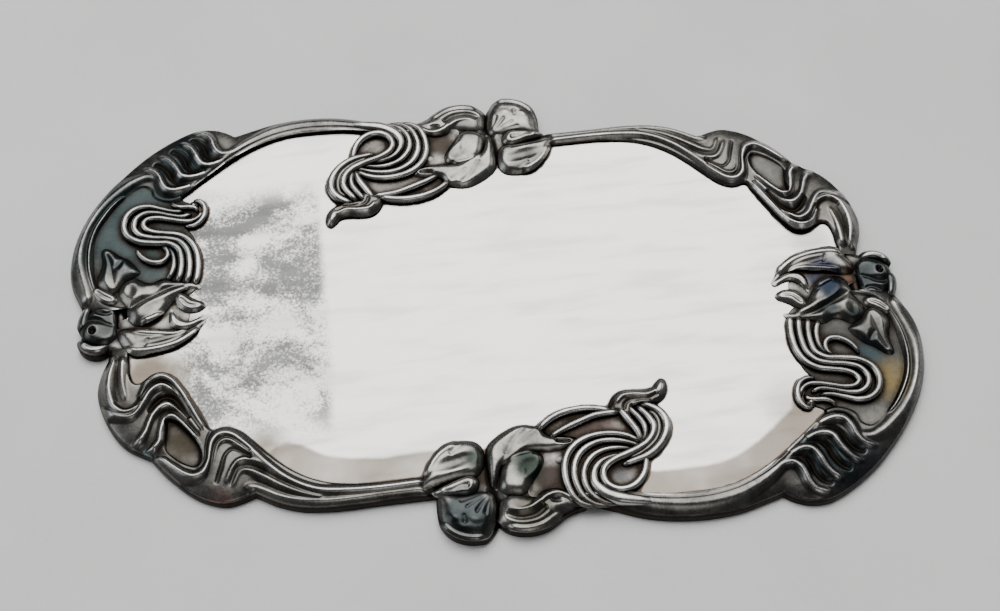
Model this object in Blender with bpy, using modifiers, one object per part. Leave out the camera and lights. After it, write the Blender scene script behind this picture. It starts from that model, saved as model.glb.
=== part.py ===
"""Low relief vanity tray: a flat field plate inside a hollow stamped border, with iris
flowers and whiplash tendrils applied over it.

The tray lies on the table (z = 0) with its long side along X. It has no mirror plane:
the second half of the border is the first half turned half a turn about Z, so every
border section, flower and tendril is drawn once and used twice.
"""
import math

import bpy
import bmesh
from mathutils import Vector

MM = 0.001

# Driving dimensions, in millimetres.
GAP = 0.3              # clearance between neighbouring pieces
FIELD_TOP = 4.2        # height of the flat field above the table
FIELD_SHEET = 1.0      # thickness of the field plate
WALL = 0.9             # thickness of the stamped border
FOOT_LIP = 2.6         # width of the turned-under edge that the tray rests on
SHOULDER = 3.5         # height where the outer wall starts to roll inwards
PANEL_TOP = 5.4        # height of the border between its two ridges
RAIL_TOP = 6.3         # height of the ridge beside the field
CASTING_TOP = 5.4      # height of a casting's ground, under its ribs and petals
CASTING_FOOT = 0.6     # a casting's outer edge stops just above the table
RIB_LIFT = 0.5         # a border rib's centre lies this share of its radius over the panel
PETAL_LIFT = -0.35     # a petal's centre lies this share of its radius under the ground
STEM_AXIS = 5.4        # height of the whiplash stem's centre line
STEM_HEIGHT = 0.6      # a stem is this much lower than it is wide
CORNER_LAP = 0.20      # share of the corner border's width that the field plate runs under
RAIL_LAP = 0.22        # the same for the rail border

# The outer edge, one end of a border section to the other. Each point has its partner in
# the inner edge list, and a cross-section of the border joins the two.
CORNER_OUTER = [
    (-134.4, -6.0), (-137.2, -15.2), (-137.7, -21.5), (-136.2, -27.5), (-133.0, -34.2),
    (-128.5, -40.0), (-123.6, -43.8), (-120.4, -46.0), (-118.2, -48.4), (-116.0, -51.2),
    (-113.2, -54.4), (-110.0, -57.6), (-106.8, -60.4), (-103.2, -62.8), (-99.5, -64.4),
    (-95.4, -65.2), (-91.0, -64.8), (-87.4, -63.6), (-84.0, -64.2), (-77.5, -67.6),
    (-68.0, -70.3), (-52.0, -71.0), (-33.0, -70.8),
]
CORNER_INNER = [
    (-125.2, -9.2), (-124.0, -13.0), (-123.1, -15.2), (-122.3, -16.3), (-121.4, -16.8),
    (-120.0, -16.6), (-118.0, -15.5), (-115.3, -14.5), (-112.0, -15.9), (-108.5, -21.0),
    (-105.0, -28.0), (-101.8, -34.2), (-100.0, -36.8), (-98.4, -37.8), (-96.4, -37.8),
    (-93.6, -37.4), (-90.4, -38.5), (-86.0, -42.3), (-80.0, -48.7), (-72.8, -55.1),
    (-64.0, -60.5), (-50.0, -63.5), (-33.0, -63.5),
]
RAIL_OUTER = [
    (36.0, -84.2), (45.0, -87.0), (56.0, -88.5), (68.0, -88.4), (79.0, -86.3),
    (87.0, -84.4), (95.0, -88.0), (104.0, -87.2), (113.0, -82.8), (121.0, -77.4),
    (129.0, -70.0), (136.0, -62.0), (142.0, -52.8), (146.0, -43.0), (147.8, -32.0),
    (147.2, -25.0), (145.6, -19.6),
]
RAIL_INNER = [
    (36.0, -78.2), (45.0, -79.9), (56.0, -80.6), (68.0, -80.0), (79.0, -76.6),
    (88.0, -71.8), (96.0, -66.0), (103.0, -60.6), (110.0, -57.4), (117.0, -57.2),
    (123.5, -55.6), (128.6, -51.4), (130.6, -46.0), (131.0, -41.2), (137.0, -38.8),
    (138.6, -30.0), (139.2, -21.6),
]
RAIL_RUNGS_BESIDE_FIELD = 13    # the later rungs reach past the field, round the corner

# The field plate's edge where a flower covers it.
UNDER_SIDE_FLOWER = [(-33.0, -68.0), (15.0, -70.0), (30.0, -76.0)]
UNDER_END_FLOWER = [(134.0, -38.0), (131.0, -26.0), (130.0, -12.0), (128.0, 4.0)]

# Plan outlines of the castings.
END_FLOWER = [
    (99.7, -5.3), (102.0, -1.8), (105.3, 1.6), (110.0, 4.8), (116.0, 6.7), (122.3, 8.0),
    (127.0, 7.8), (131.0, 5.0), (134.5, 4.0), (139.0, 5.0), (142.8, 3.3), (144.5, 0.0),
    (143.7, -4.0), (144.6, -7.5), (143.6, -10.5), (142.6, -13.4), (144.8, -18.8),
    (138.6, -21.0), (137.6, -29.0), (136.0, -33.0), (136.4, -37.4), (132.0, -37.5),
    (128.5, -35.0), (126.0, -30.5), (122.0, -26.0), (119.5, -22.4), (111.0, -21.8),
    (105.5, -21.2), (101.6, -17.5), (100.2, -13.0), (100.0, -8.5),
]
SIDE_FLOWER = [
    (-32.4, -65.0), (-30.0, -60.0), (-27.6, -56.5), (-24.5, -54.0), (-20.0, -52.8),
    (-15.5, -52.6), (-11.8, -53.7), (-9.7, -56.4), (-6.5, -52.4), (-3.0, -50.6),
    (1.0, -49.3), (6.0, -49.4), (10.8, -50.8), (12.0, -53.0), (14.5, -54.4),
    (20.4, -55.2), (22.0, -56.8), (20.3, -58.8), (15.6, -60.3), (15.0, -66.0),
    (15.0, -72.0), (16.6, -76.0), (15.8, -79.8), (12.5, -82.6), (8.0, -85.5),
    (3.0, -87.0), (-3.0, -85.8), (-7.6, -83.2), (-9.6, -86.0), (-12.5, -88.2),
    (-16.5, -88.0), (-22.0, -85.3), (-26.0, -81.0), (-27.3, -76.0), (-28.0, -71.4),
    (-32.4, -70.6),
]
LOOP_TENDRIL = [
    (12.6, -50.6), (15.0, -46.8), (19.5, -45.2), (25.5, -44.5), (31.0, -44.6),
    (33.6, -44.6), (35.2, -42.4), (38.0, -40.8), (41.5, -40.2), (47.0, -41.0),
    (50.2, -40.2), (52.8, -38.3), (54.3, -38.4), (54.9, -41.5), (54.2, -44.5),
    (52.6, -47.6), (54.6, -51.5), (55.2, -55.0), (54.0, -59.5), (51.0, -63.7),
    (46.5, -66.6), (44.8, -71.0), (42.6, -74.6), (39.3, -76.6), (35.4, -77.6),
    (35.4, -84.0), (31.0, -82.3), (24.5, -80.0), (20.5, -79.6), (16.5, -79.9),
    (17.6, -76.0), (15.8, -72.0), (15.8, -66.0), (16.6, -61.0), (21.3, -59.4),
    (23.0, -56.8), (20.6, -54.3), (15.0, -53.5), (13.2, -52.3),
]

# Ribs and petal folds as (x, y, radius).
CORNER_RIBS = [
    [(-131.8, -9.5, 0.9), (-133.4, -19.5, 1.0), (-131.6, -25.4, 1.0), (-127.4, -28.2, 1.0),
     (-123.2, -24.8, 1.1), (-119.4, -20.0, 1.5), (-115.5, -18.4, 1.75), (-112.0, -22.5, 1.4),
     (-106.4, -31.8, 1.0), (-101.8, -39.4, 0.8)],
    [(-117.8, -46.6, 0.8), (-111.0, -52.2, 0.9), (-104.6, -54.2, 1.0), (-100.8, -50.0, 1.0),
     (-98.6, -43.2, 1.1), (-94.6, -41.0, 1.1), (-88.4, -45.6, 1.1), (-80.0, -55.0, 1.1),
     (-72.0, -62.4, 1.0), (-64.0, -65.6, 0.9)],
]
RAIL_RIBS = [
    [(98.4, -69.8, 0.9), (102.2, -73.6, 1.0), (103.4, -78.8, 1.0), (107.4, -81.0, 0.8)],
    [(106.0, -64.0, 0.9), (109.6, -68.2, 1.0), (111.4, -74.2, 1.0), (116.2, -75.8, 0.8)],
    [(109.6, -60.2, 0.9), (113.8, -62.6, 1.0), (115.2, -69.0, 1.0), (119.6, -71.6, 0.9),
     (128.0, -66.8, 1.0), (136.8, -57.0, 1.0), (142.4, -45.0, 1.0), (143.6, -33.0, 1.0),
     (142.6, -25.0, 0.8)],
]
LOOP_RIBS = [
    [(14.0, -50.4, 0.9), (19.1, -47.6, 1.1), (26.0, -46.4, 1.1), (33.4, -47.0, 1.0)],
    [(16.0, -52.6, 0.8), (25.0, -50.2, 1.0), (34.0, -48.6, 1.0), (39.6, -53.2, 1.0),
     (42.6, -59.6, 0.8)],
    [(38.0, -46.2, 1.1), (39.6, -43.4, 1.3), (46.4, -43.4, 1.3), (50.8, -42.4, 1.1),
     (53.4, -40.2, 0.7)],
    [(46.0, -49.2, 1.0), (51.4, -52.4, 1.3), (51.4, -58.4, 1.3), (46.2, -63.6, 1.3),
     (38.6, -65.8, 1.2), (31.0, -68.0, 1.2), (29.2, -72.6, 1.2), (33.4, -75.6, 1.2),
     (40.0, -73.6, 1.2), (43.2, -68.2, 1.0)],
    [(17.8, -75.6, 0.8), (17.6, -68.0, 1.0), (21.6, -61.2, 1.1), (30.0, -57.8, 1.1),
     (39.6, -60.4, 0.9)],
]
END_PETALS = [
    [(102.4, -4.2, 1.2), (108.4, 0.6, 2.0), (117.0, 3.4, 2.6), (125.4, 2.6, 2.4)],
    [(105.4, -17.0, 1.6), (112.2, -14.0, 2.6), (119.4, -9.2, 2.8), (124.0, -8.0, 2.2)],
    [(109.4, -19.2, 1.2), (118.0, -18.2, 1.8), (125.2, -18.6, 2.4), (126.4, -13.4, 1.8)],
    [(134.6, -35.6, 1.0), (132.8, -29.6, 2.2), (131.6, -22.0, 2.2), (131.4, -15.0, 1.4)],
    [(136.4, 1.4, 2.0), (140.6, -1.0, 2.2), (140.6, -7.6, 2.4), (136.0, -11.4, 1.8)],
]
SIDE_PETALS = [
    [(-29.6, -63.4, 1.2), (-25.0, -58.2, 2.4), (-18.4, -56.0, 2.6), (-12.8, -57.4, 1.8)],
    [(-24.0, -67.4, 1.6), (-18.4, -64.6, 2.2), (-13.6, -66.2, 1.6)],
    [(-6.4, -57.6, 1.4), (-1.4, -53.4, 2.4), (6.6, -53.6, 2.4), (18.4, -57.0, 1.4)],
    [(-1.8, -68.4, 2.2), (1.6, -63.8, 2.6), (8.4, -63.0, 1.8)],
    [(-10.6, -74.6, 1.2), (-17.4, -79.4, 2.6), (-16.4, -84.0, 2.2)],
    [(-4.8, -80.0, 2.0), (2.4, -82.2, 2.6), (9.6, -78.8, 2.0)],
]
# The whiplash stem, and the small curl that springs from it.
WHIPLASH_STEM = [
    (105.3, -24.8, 3.2), (104.4, -29.5, 3.2), (104.7, -34.5, 3.1), (107.0, -39.0, 2.8),
    (111.4, -41.8, 2.3), (116.5, -42.2, 2.1), (121.4, -41.9, 2.3), (125.0, -44.2, 2.5),
    (125.4, -47.6, 2.5), (122.8, -50.8, 2.3), (118.2, -51.4, 2.1), (112.6, -49.9, 1.9),
    (107.0, -48.4, 1.9), (102.4, -49.2, 1.9), (100.4, -52.0, 1.7), (102.6, -54.4, 1.4),
    (106.4, -54.2, 1.2),
]
WHIPLASH_CURL = [
    (121.8, -34.2, 1.0), (119.4, -31.4, 1.2), (115.2, -30.4, 1.3), (111.9, -32.2, 1.3),
    (111.0, -36.0, 1.3), (112.8, -40.4, 1.2),
]


def half_turn(points):
    """The same points, half a turn about Z."""
    return [(-x, -y) for x, y in points]


def smooth(points, steps, closed=False):
    """A Catmull-Rom curve through the points, as a list of points of the same size."""
    count = len(points)
    spans = count if closed else count - 1
    curve = []
    for i in range(spans):
        if closed:
            a, b, c, d = (Vector(points[(i + k - 1) % count]) for k in range(4))
        else:
            a, b, c, d = (Vector(points[min(max(i + k - 1, 0), count - 1)]) for k in range(4))
        for step in range(steps):
            t = step / steps
            curve.append(0.5 * (2 * b + (c - a) * t + (2 * a - 5 * b + 4 * c - d) * t ** 2
                                + (3 * b - a - 3 * c + d) * t ** 3))
    if not closed:
        curve.append(Vector(points[-1]))
    return curve


def new_collection(name):
    collection = bpy.data.collections.new(name)
    bpy.context.scene.collection.children.link(collection)
    return collection


def new_material(name, colour, roughness):
    material = bpy.data.materials.new(name)
    material.use_nodes = True
    shader = material.node_tree.nodes["Principled BSDF"]
    shader.inputs["Base Color"].default_value = (*colour, 1.0)
    shader.inputs["Metallic"].default_value = 1.0
    shader.inputs["Roughness"].default_value = roughness
    return material


def link(obj, collection):
    collection.objects.link(obj)
    return obj


def as_cutter(obj):
    obj.hide_render = True
    obj.display_type = "WIRE"
    return obj


def curve_to_mesh(curve_object, collection):
    """Replace a curve with a closed mesh of it, its caps welded on."""
    depsgraph = bpy.context.evaluated_depsgraph_get()
    mesh = bpy.data.meshes.new_from_object(curve_object.evaluated_get(depsgraph))
    welded = bmesh.new()
    welded.from_mesh(mesh)
    bmesh.ops.remove_doubles(welded, verts=welded.verts, dist=0.00002)
    bmesh.ops.recalc_face_normals(welded, faces=welded.faces)
    welded.to_mesh(mesh)
    welded.free()
    result = bpy.data.objects.new(curve_object.name + "_mesh", mesh)
    result.matrix_world = curve_object.matrix_world
    bpy.data.objects.remove(curve_object)
    return link(result, collection)


def slab(name, outline, low, high, collection):
    """A flat piece with the given plan outline, from one height to another."""
    curve = bpy.data.curves.new(name, "CURVE")
    curve.dimensions = "2D"
    curve.fill_mode = "BOTH"
    curve.extrude = (high - low) / 2 * MM
    spline = curve.splines.new("POLY")
    spline.points.add(len(outline) - 1)
    for target, point in zip(spline.points, outline):
        target.co = (point[0] * MM, point[1] * MM, 0.0, 1.0)
    spline.use_cyclic_u = True
    obj = link(bpy.data.objects.new(name, curve), collection)
    obj.location.z = (low + high) / 2 * MM
    bpy.context.view_layer.update()
    return curve_to_mesh(obj, collection)


def tube(name, points, height, collection, lift=0.0, flatten=1.0, sides=0):
    """A rod of changing radius along the points, its axis raised by a share of its radius."""
    curve = bpy.data.curves.new(name, "CURVE")
    curve.dimensions = "3D"
    curve.twist_mode = "Z_UP"
    curve.bevel_depth = MM
    curve.bevel_resolution = sides
    curve.use_fill_caps = True
    route = smooth(points, 2)
    spline = curve.splines.new("POLY")
    spline.points.add(len(route) - 1)
    for target, point in zip(spline.points, route):
        target.co = (point[0] * MM, point[1] * MM, lift * point[2] * MM, 1.0)
        target.radius = point[2]
    obj = link(bpy.data.objects.new(name, curve), collection)
    obj.scale.z = flatten
    obj.location.z = height * MM
    bpy.context.view_layer.update()
    return curve_to_mesh(obj, collection)


def finished_mesh(obj, name):
    """The object's mesh with its modifiers and its transform applied."""
    bpy.context.view_layer.update()
    depsgraph = bpy.context.evaluated_depsgraph_get()
    mesh = bpy.data.meshes.new_from_object(obj.evaluated_get(depsgraph))
    mesh.transform(obj.matrix_world)
    mesh.name = name
    return mesh


def boolean(obj, operation, operand):
    modifier = obj.modifiers.new(operation.lower(), "BOOLEAN")
    modifier.operation = operation
    modifier.solver = "EXACT"
    if isinstance(operand, bpy.types.Collection):
        modifier.operand_type = "COLLECTION"
        modifier.collection = operand
    else:
        modifier.object = operand


def place_pair(mesh, names, material, collection):
    """The same mesh twice, the second half a turn about Z from the first."""
    mesh.materials.clear()
    mesh.materials.append(material)
    for turn, name in enumerate(names):
        obj = link(bpy.data.objects.new(name, mesh), collection)
        obj.rotation_euler.z = turn * math.pi


def border_profile(width):
    """The border's outer surface across its width, from the foot lip to the field."""
    return [
        (FOOT_LIP, 0.0), (0.0, 0.0), (0.0, SHOULDER), (1.2, PANEL_TOP - 0.3),
        (width - 3.4, PANEL_TOP), (width - 2.0, RAIL_TOP), (width - 1.0, RAIL_TOP),
        (width, RAIL_TOP - 0.9), (width, FIELD_TOP + GAP),
    ]


def border_section(name, outer, inner, ribs, cutters):
    """A hollow stamping: cross-sections lofted between the two edges, then thickened."""
    surface = bmesh.new()
    rows = []
    for start, end in zip(smooth(outer, 2), smooth(inner, 2)):
        across = end - start
        width = across.length
        row = []
        for offset, height in border_profile(width):
            spot = start + across * (offset / width)
            row.append(surface.verts.new((spot.x * MM, spot.y * MM, height * MM)))
        rows.append(row)
    for row, following in zip(rows, rows[1:]):
        for i in range(len(row) - 1):
            surface.faces.new((row[i], following[i], following[i + 1], row[i + 1]))
    mesh = bpy.data.meshes.new(name)
    surface.to_mesh(mesh)
    surface.free()
    shell = as_cutter(link(bpy.data.objects.new(name + "_shell", mesh), cutters))
    thicken = shell.modifiers.new("thicken", "SOLIDIFY")
    thicken.thickness = WALL * MM
    thicken.offset = -1.0
    boolean(shell, "UNION", rib_group(name, ribs, PANEL_TOP, RIB_LIFT, cutters))
    return finished_mesh(shell, name)


def rib_group(name, ribs, ground, lift, cutters, sides=0):
    group = bpy.data.collections.new(name + "_ribs")
    cutters.children.link(group)
    for index, rib in enumerate(ribs):
        as_cutter(tube(f"{name}_rib_{index}", rib, ground, group, lift=lift, sides=sides))
    return group


def casting(name, outline, ribs, clearance, cutters):
    """A solid relief casting that sits on the field plate and steps down past its edge."""
    ground = as_cutter(slab(name + "_ground", outline, CASTING_FOOT, CASTING_TOP, cutters))
    boolean(ground, "UNION", rib_group(name, ribs, CASTING_TOP, PETAL_LIFT, cutters, sides=1))
    boolean(ground, "DIFFERENCE", clearance)
    return finished_mesh(ground, name)


def whiplash(name, cutters):
    """The end tendril: a flattened stem with a curl, flat where it lies on the field."""
    stem = as_cutter(tube(name + "_stem", WHIPLASH_STEM, STEM_AXIS, cutters,
                          flatten=STEM_HEIGHT, sides=2))
    curl = as_cutter(tube(name + "_curl", WHIPLASH_CURL, STEM_AXIS, cutters, sides=1))
    corner = [(90.0, -65.0), (140.0, -65.0), (140.0, -15.0), (90.0, -15.0)]
    below = as_cutter(slab(name + "_below", corner, 0.0, FIELD_TOP + GAP, cutters))
    boolean(stem, "UNION", curl)
    boolean(stem, "DIFFERENCE", below)
    return finished_mesh(stem, name)


def inset(points, other, share):
    """Points part of the way from one edge to the other."""
    return [(x + (u - x) * share, y + (v - y) * share)
            for (x, y), (u, v) in zip(points, other)]


def main():
    for obj in list(bpy.data.objects):
        bpy.data.objects.remove(obj)
    parts = new_collection("vanity_tray")
    cutters = new_collection("cutters")

    satin = new_material("satin_silver", (0.78, 0.78, 0.76), 0.35)
    border = new_material("bright_silver", (0.72, 0.72, 0.71), 0.22)
    flower = new_material("cast_silver", (0.74, 0.73, 0.71), 0.20)
    tendril = new_material("chased_silver", (0.76, 0.75, 0.73), 0.20)

    beside_rail = inset(RAIL_INNER, RAIL_OUTER, RAIL_LAP)[:RAIL_RUNGS_BESIDE_FIELD]
    plate_half = (inset(CORNER_INNER, CORNER_OUTER, CORNER_LAP) + UNDER_SIDE_FLOWER
                  + beside_rail + UNDER_END_FLOWER)
    plate_edge = smooth(plate_half + half_turn(plate_half), 2, closed=True)
    plate = slab("tray_plate", plate_edge, FIELD_TOP - FIELD_SHEET, FIELD_TOP, parts)
    plate.name = "tray_plate"
    plate.data.materials.clear()
    plate.data.materials.append(satin)
    clearance = slab("plate_clearance", plate_edge, -1.0, FIELD_TOP + GAP, cutters)
    as_cutter(clearance)

    place_pair(border_section("corner_border", CORNER_OUTER, CORNER_INNER, CORNER_RIBS, cutters),
               ("border_front_left", "border_back_right"), border, parts)
    place_pair(border_section("rail_border", RAIL_OUTER, RAIL_INNER, RAIL_RIBS, cutters),
               ("border_front_right", "border_back_left"), border, parts)
    place_pair(casting("end_flower", END_FLOWER, END_PETALS, clearance, cutters),
               ("flower_right", "flower_left"), flower, parts)
    place_pair(casting("side_flower", SIDE_FLOWER, SIDE_PETALS, clearance, cutters),
               ("flower_front", "flower_back"), flower, parts)
    place_pair(casting("loop_tendril", LOOP_TENDRIL, LOOP_RIBS, clearance, cutters),
               ("tendril_front", "tendril_back"), tendril, parts)
    place_pair(whiplash("whiplash", cutters),
               ("tendril_right", "tendril_left"), tendril, parts)


main()
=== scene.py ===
"""The looks of the vanity tray: chased silver relief around a satin field.

Every ornament is a relief patch: an outline in plan, filled with a fine mesh, lifted by a
height function of ridges, valleys and domes, and closed by a wall at its edge. Lengths are
in millimetres until a mesh is made. Only one half of the ornament is drawn; the other half
is the same patches turned half a turn about Z.
"""
import math

import bmesh
import bpy
import numpy as np
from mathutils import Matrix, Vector
from mathutils.geometry import delaunay_2d_cdt


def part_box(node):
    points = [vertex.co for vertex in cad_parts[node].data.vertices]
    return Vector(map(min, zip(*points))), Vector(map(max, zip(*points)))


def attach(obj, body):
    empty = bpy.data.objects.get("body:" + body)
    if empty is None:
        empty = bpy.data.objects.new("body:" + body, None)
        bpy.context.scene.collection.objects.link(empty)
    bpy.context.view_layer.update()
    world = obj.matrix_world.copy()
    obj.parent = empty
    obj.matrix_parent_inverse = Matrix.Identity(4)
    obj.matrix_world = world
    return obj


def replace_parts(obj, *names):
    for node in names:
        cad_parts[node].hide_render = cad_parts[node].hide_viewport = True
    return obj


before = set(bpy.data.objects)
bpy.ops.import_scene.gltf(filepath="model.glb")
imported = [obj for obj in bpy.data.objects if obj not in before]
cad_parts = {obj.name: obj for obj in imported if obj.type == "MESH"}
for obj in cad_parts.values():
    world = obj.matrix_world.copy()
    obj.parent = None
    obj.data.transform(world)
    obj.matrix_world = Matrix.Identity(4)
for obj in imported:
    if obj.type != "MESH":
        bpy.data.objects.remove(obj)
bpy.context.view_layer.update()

MM = 0.001

# Heights above the table, in millimetres.
FIELD_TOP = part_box("tray_plate")[1][2] / MM
FIELD_SHEET = 1.0
FOOT = 0.0

CURVE_STEP = 0.8         # spacing of the points on a smooth curve
LEAST_POINTS = 8         # of a closed loop
SPACING = 0.30           # mesh spacing of the relief
UNDER_SPACING = 1.0      # of the undersides
GROUND_SPACING = 0.5     # of the loop tendril's ground
PLATE_SPACING = 0.75     # of the field plate
NET_ROW = 0.866          # distance between two rows of a triangular net, over its spacing
NET_MARGIN = 0.6         # clear distance of the net from its boundary, over its spacing
INSIDE_ONLY = 1          # the triangulation keeps what lies inside the boundary
WELD = 1e-6
LEAST_SHEET = 0.05       # least thickness of a relief

BLEND = 0.35             # fillet between two relief features
PATH_REACH = 6.0         # how far beside its path a rib or a groove changes the ground
PANEL_REACH = 3.0        # and how far outside its outline a sunk panel does
RIB_SINK = 2.8           # how far down a rib's end goes
GROOVE_RISE = 1.2        # how far up a groove's end comes
RIB_FADE = (5.0, 5.0)    # over what distance a rib's two ends go down
GROOVE_FADE = (1.0, 1.0)  # and a groove's come up
OVAL_REACH = 9.0         # where a dome stops falling: its radius, squared
PETAL_ROUND = 2.2        # how full a petal's crown is
PETAL_STEP = 0.5         # spacing of the points on its outline
PETAL_SOFTEN = (30, 2)   # rounds of averaging of its crown, and of its whole relief


# ---------------------------------------------------------------- curves

def smooth(points, step=CURVE_STEP, closed=False):
    """A centripetal Catmull-Rom curve through the points, with a point every step or so."""
    pts = np.array(points, float)
    if closed:
        pts = np.vstack([pts[-1], pts, pts[:2]])
    else:
        pts = np.vstack([2 * pts[0] - pts[1], pts, 2 * pts[-1] - pts[-2]])
    out = []
    for p0, p1, p2, p3 in zip(pts, pts[1:], pts[2:], pts[3:]):
        t0 = 0.0
        t1 = t0 + max(np.linalg.norm(p1[:2] - p0[:2]), 1e-6) ** 0.5
        t2 = t1 + max(np.linalg.norm(p2[:2] - p1[:2]), 1e-6) ** 0.5
        t3 = t2 + max(np.linalg.norm(p3[:2] - p2[:2]), 1e-6) ** 0.5
        count = max(1, int(round(np.linalg.norm(p2[:2] - p1[:2]) / step)))
        for t in np.linspace(t1, t2, count, endpoint=False):
            a1 = (t1 - t) / (t1 - t0) * p0 + (t - t0) / (t1 - t0) * p1
            a2 = (t2 - t) / (t2 - t1) * p1 + (t - t1) / (t2 - t1) * p2
            a3 = (t3 - t) / (t3 - t2) * p2 + (t - t2) / (t3 - t2) * p3
            b1 = (t2 - t) / (t2 - t0) * a1 + (t - t0) / (t2 - t0) * a2
            b2 = (t3 - t) / (t3 - t1) * a2 + (t - t1) / (t3 - t1) * a3
            out.append((t2 - t) / (t2 - t1) * b1 + (t - t1) / (t2 - t1) * b2)
    if not closed:
        out.append(pts[-2])
    return np.array(out)


def chain(*arcs):
    """Smooth arcs joined end to end, with a corner where two arcs meet."""
    pieces = [smooth(arc)[:-1] for arc in arcs]
    return np.vstack(pieces + [np.array([arcs[-1][-1]], float)])


def turned(points):
    """The points, half a turn about Z."""
    pts = np.array(points, float)
    pts[:, :2] *= -1
    return pts


def nearest(points, path, closed=False):
    """Distance to the path, signed side, and the share of the path's length at the foot."""
    a = path if closed else path[:-1]
    b = np.roll(path, -1, axis=0) if closed else path[1:]
    ab = b - a
    length = np.maximum(np.linalg.norm(ab, axis=1), 1e-9)
    start = np.concatenate([[0], np.cumsum(length)])
    best = np.full(len(points), np.inf)
    side = np.zeros(len(points))
    share = np.zeros(len(points))
    for i in range(len(a)):
        reach = points - a[i]
        t = np.clip((reach @ ab[i]) / length[i] ** 2, 0, 1)
        off = reach - t[:, None] * ab[i]
        d = np.hypot(off[:, 0], off[:, 1])
        closer = d < best
        best = np.where(closer, d, best)
        cross = ab[i, 0] * reach[:, 1] - ab[i, 1] * reach[:, 0]
        side = np.where(closer, np.sign(cross), side)
        share = np.where(closer, (start[i] + t * length[i]) / start[-1], share)
    return best, side, share


def inside(points, polygon):
    """Which points lie inside the polygon."""
    hit = np.zeros(len(points), bool)
    x, y = points[:, 0], points[:, 1]
    for (ax, ay), (bx, by) in zip(polygon, np.roll(polygon, -1, axis=0)):
        crosses = (ay > y) != (by > y)
        if ay != by:
            hit ^= crosses & (x < (bx - ax) * (y - ay) / (by - ay) + ax)
    return hit


# ---------------------------------------------------------------- relief features

def higher(a, b, blend=BLEND):
    """The larger of two heights, with a fillet where they meet."""
    h = np.clip(0.5 + 0.5 * (a - b) / blend, 0, 1)
    return b + (a - b) * h + blend * h * (1 - h)


def lower(a, b, blend=BLEND):
    """The smaller of two heights, with a rounded edge where they meet."""
    return -higher(-a, -b, blend)


def along(values, share):
    """Values spaced evenly along a path, read at a share of its length."""
    values = np.atleast_1d(np.array(values, float))
    return np.interp(share, np.linspace(0, 1, len(values)), values)


def beside(line, reach, change):
    """A feature that changes the heights of the points within reach of the line."""
    low, high = line.min(0) - reach, line.max(0) + reach

    def apply(points, heights):
        near = np.all((points > low) & (points < high), axis=1)
        if not near.any():
            return heights
        heights = heights.copy()
        heights[near] = change(points[near], heights[near])
        return heights
    return apply


def near_ends(share, total, fade):
    """1 at each end of a path, falling to 0 at the distance fade from it."""
    return (np.clip(1 - share * total / fade[0], 0, 1) ** 2
            + np.clip(1 - (1 - share) * total / fade[1], 0, 1) ** 2)


def ridge(path, top, slope=1.4, crest=0.4, fade=RIB_FADE):
    """A rib: a rounded crest at height top, falling away on both sides.

    slope is one number or (left, right); fade is how far each end takes to sink.
    """
    line = smooth(path)
    total = np.linalg.norm(np.diff(line, axis=0), axis=1).sum()
    left, right = slope if isinstance(slope, tuple) else (slope, slope)

    def change(points, heights):
        d, side, share = nearest(points, line)
        width = along(crest, share)
        drop = np.where(side > 0, left, right) * (np.sqrt(d * d + width ** 2) - width)
        sink = RIB_SINK * near_ends(share, total, fade)
        return higher(heights, along(top, share) - drop - sink)
    return beside(line, PATH_REACH, change)


def valley(path, bottom, slope=1.2, floor=0.5, blend=BLEND):
    """A groove along the path."""
    line = smooth(path)
    total = np.linalg.norm(np.diff(line, axis=0), axis=1).sum()

    def change(points, heights):
        d, _, share = nearest(points, line)
        width = along(floor, share)
        climb = slope * (np.sqrt(d * d + width ** 2) - width)
        rise = GROOVE_RISE * near_ends(share, total, GROOVE_FADE)
        return lower(heights, along(bottom, share) + climb + rise, blend)
    return beside(line, PATH_REACH, change)


def oval(points, centre, radii, turn):
    """The square of how far out each point is: 0 at the oval's centre, 1 on its edge."""
    c, s = math.cos(math.radians(turn)), math.sin(math.radians(turn))
    x, y = (points - np.array(centre)).T
    square = ((x * c + y * s) / radii[0]) ** 2 + ((y * c - x * s) / radii[1]) ** 2
    return np.minimum(square, OVAL_REACH)


def dome(centre, radii, top, turn=0.0, rise=1.6, blend=BLEND):
    """An oval swelling, rise high at its middle."""
    def apply(points, heights):
        return higher(heights, top - rise * oval(points, centre, radii, turn), blend)
    return apply


def hollow(centre, radii, bottom, turn=0.0, rise=1.6, blend=BLEND):
    """An oval dip, its bottom at the given height."""
    def apply(points, heights):
        return lower(heights, bottom + rise * oval(points, centre, radii, turn), blend)
    return apply


def window(outline, floor, slope=2.5):
    """A sunk panel: a flat floor inside the outline, with sloping sides."""
    edge = smooth(outline, closed=True)

    def change(points, heights):
        d, _, _ = nearest(points, edge, closed=True)
        d = np.where(inside(points, edge), -d, d)
        return lower(heights, floor + slope * np.maximum(d, 0))
    return beside(edge, PANEL_REACH, change)


# ---------------------------------------------------------------- shells

def resampled(loop, spacing):
    """A closed loop with points evenly spaced along it."""
    ring = np.vstack([loop, loop[:1]])
    reach = np.concatenate([[0], np.cumsum(np.linalg.norm(np.diff(ring, axis=0), axis=1))])
    count = max(LEAST_POINTS, int(reach[-1] / spacing))
    marks = np.linspace(0, reach[-1], count, endpoint=False)
    return np.stack([np.interp(marks, reach, ring[:, k]) for k in (0, 1)], axis=1)


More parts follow.
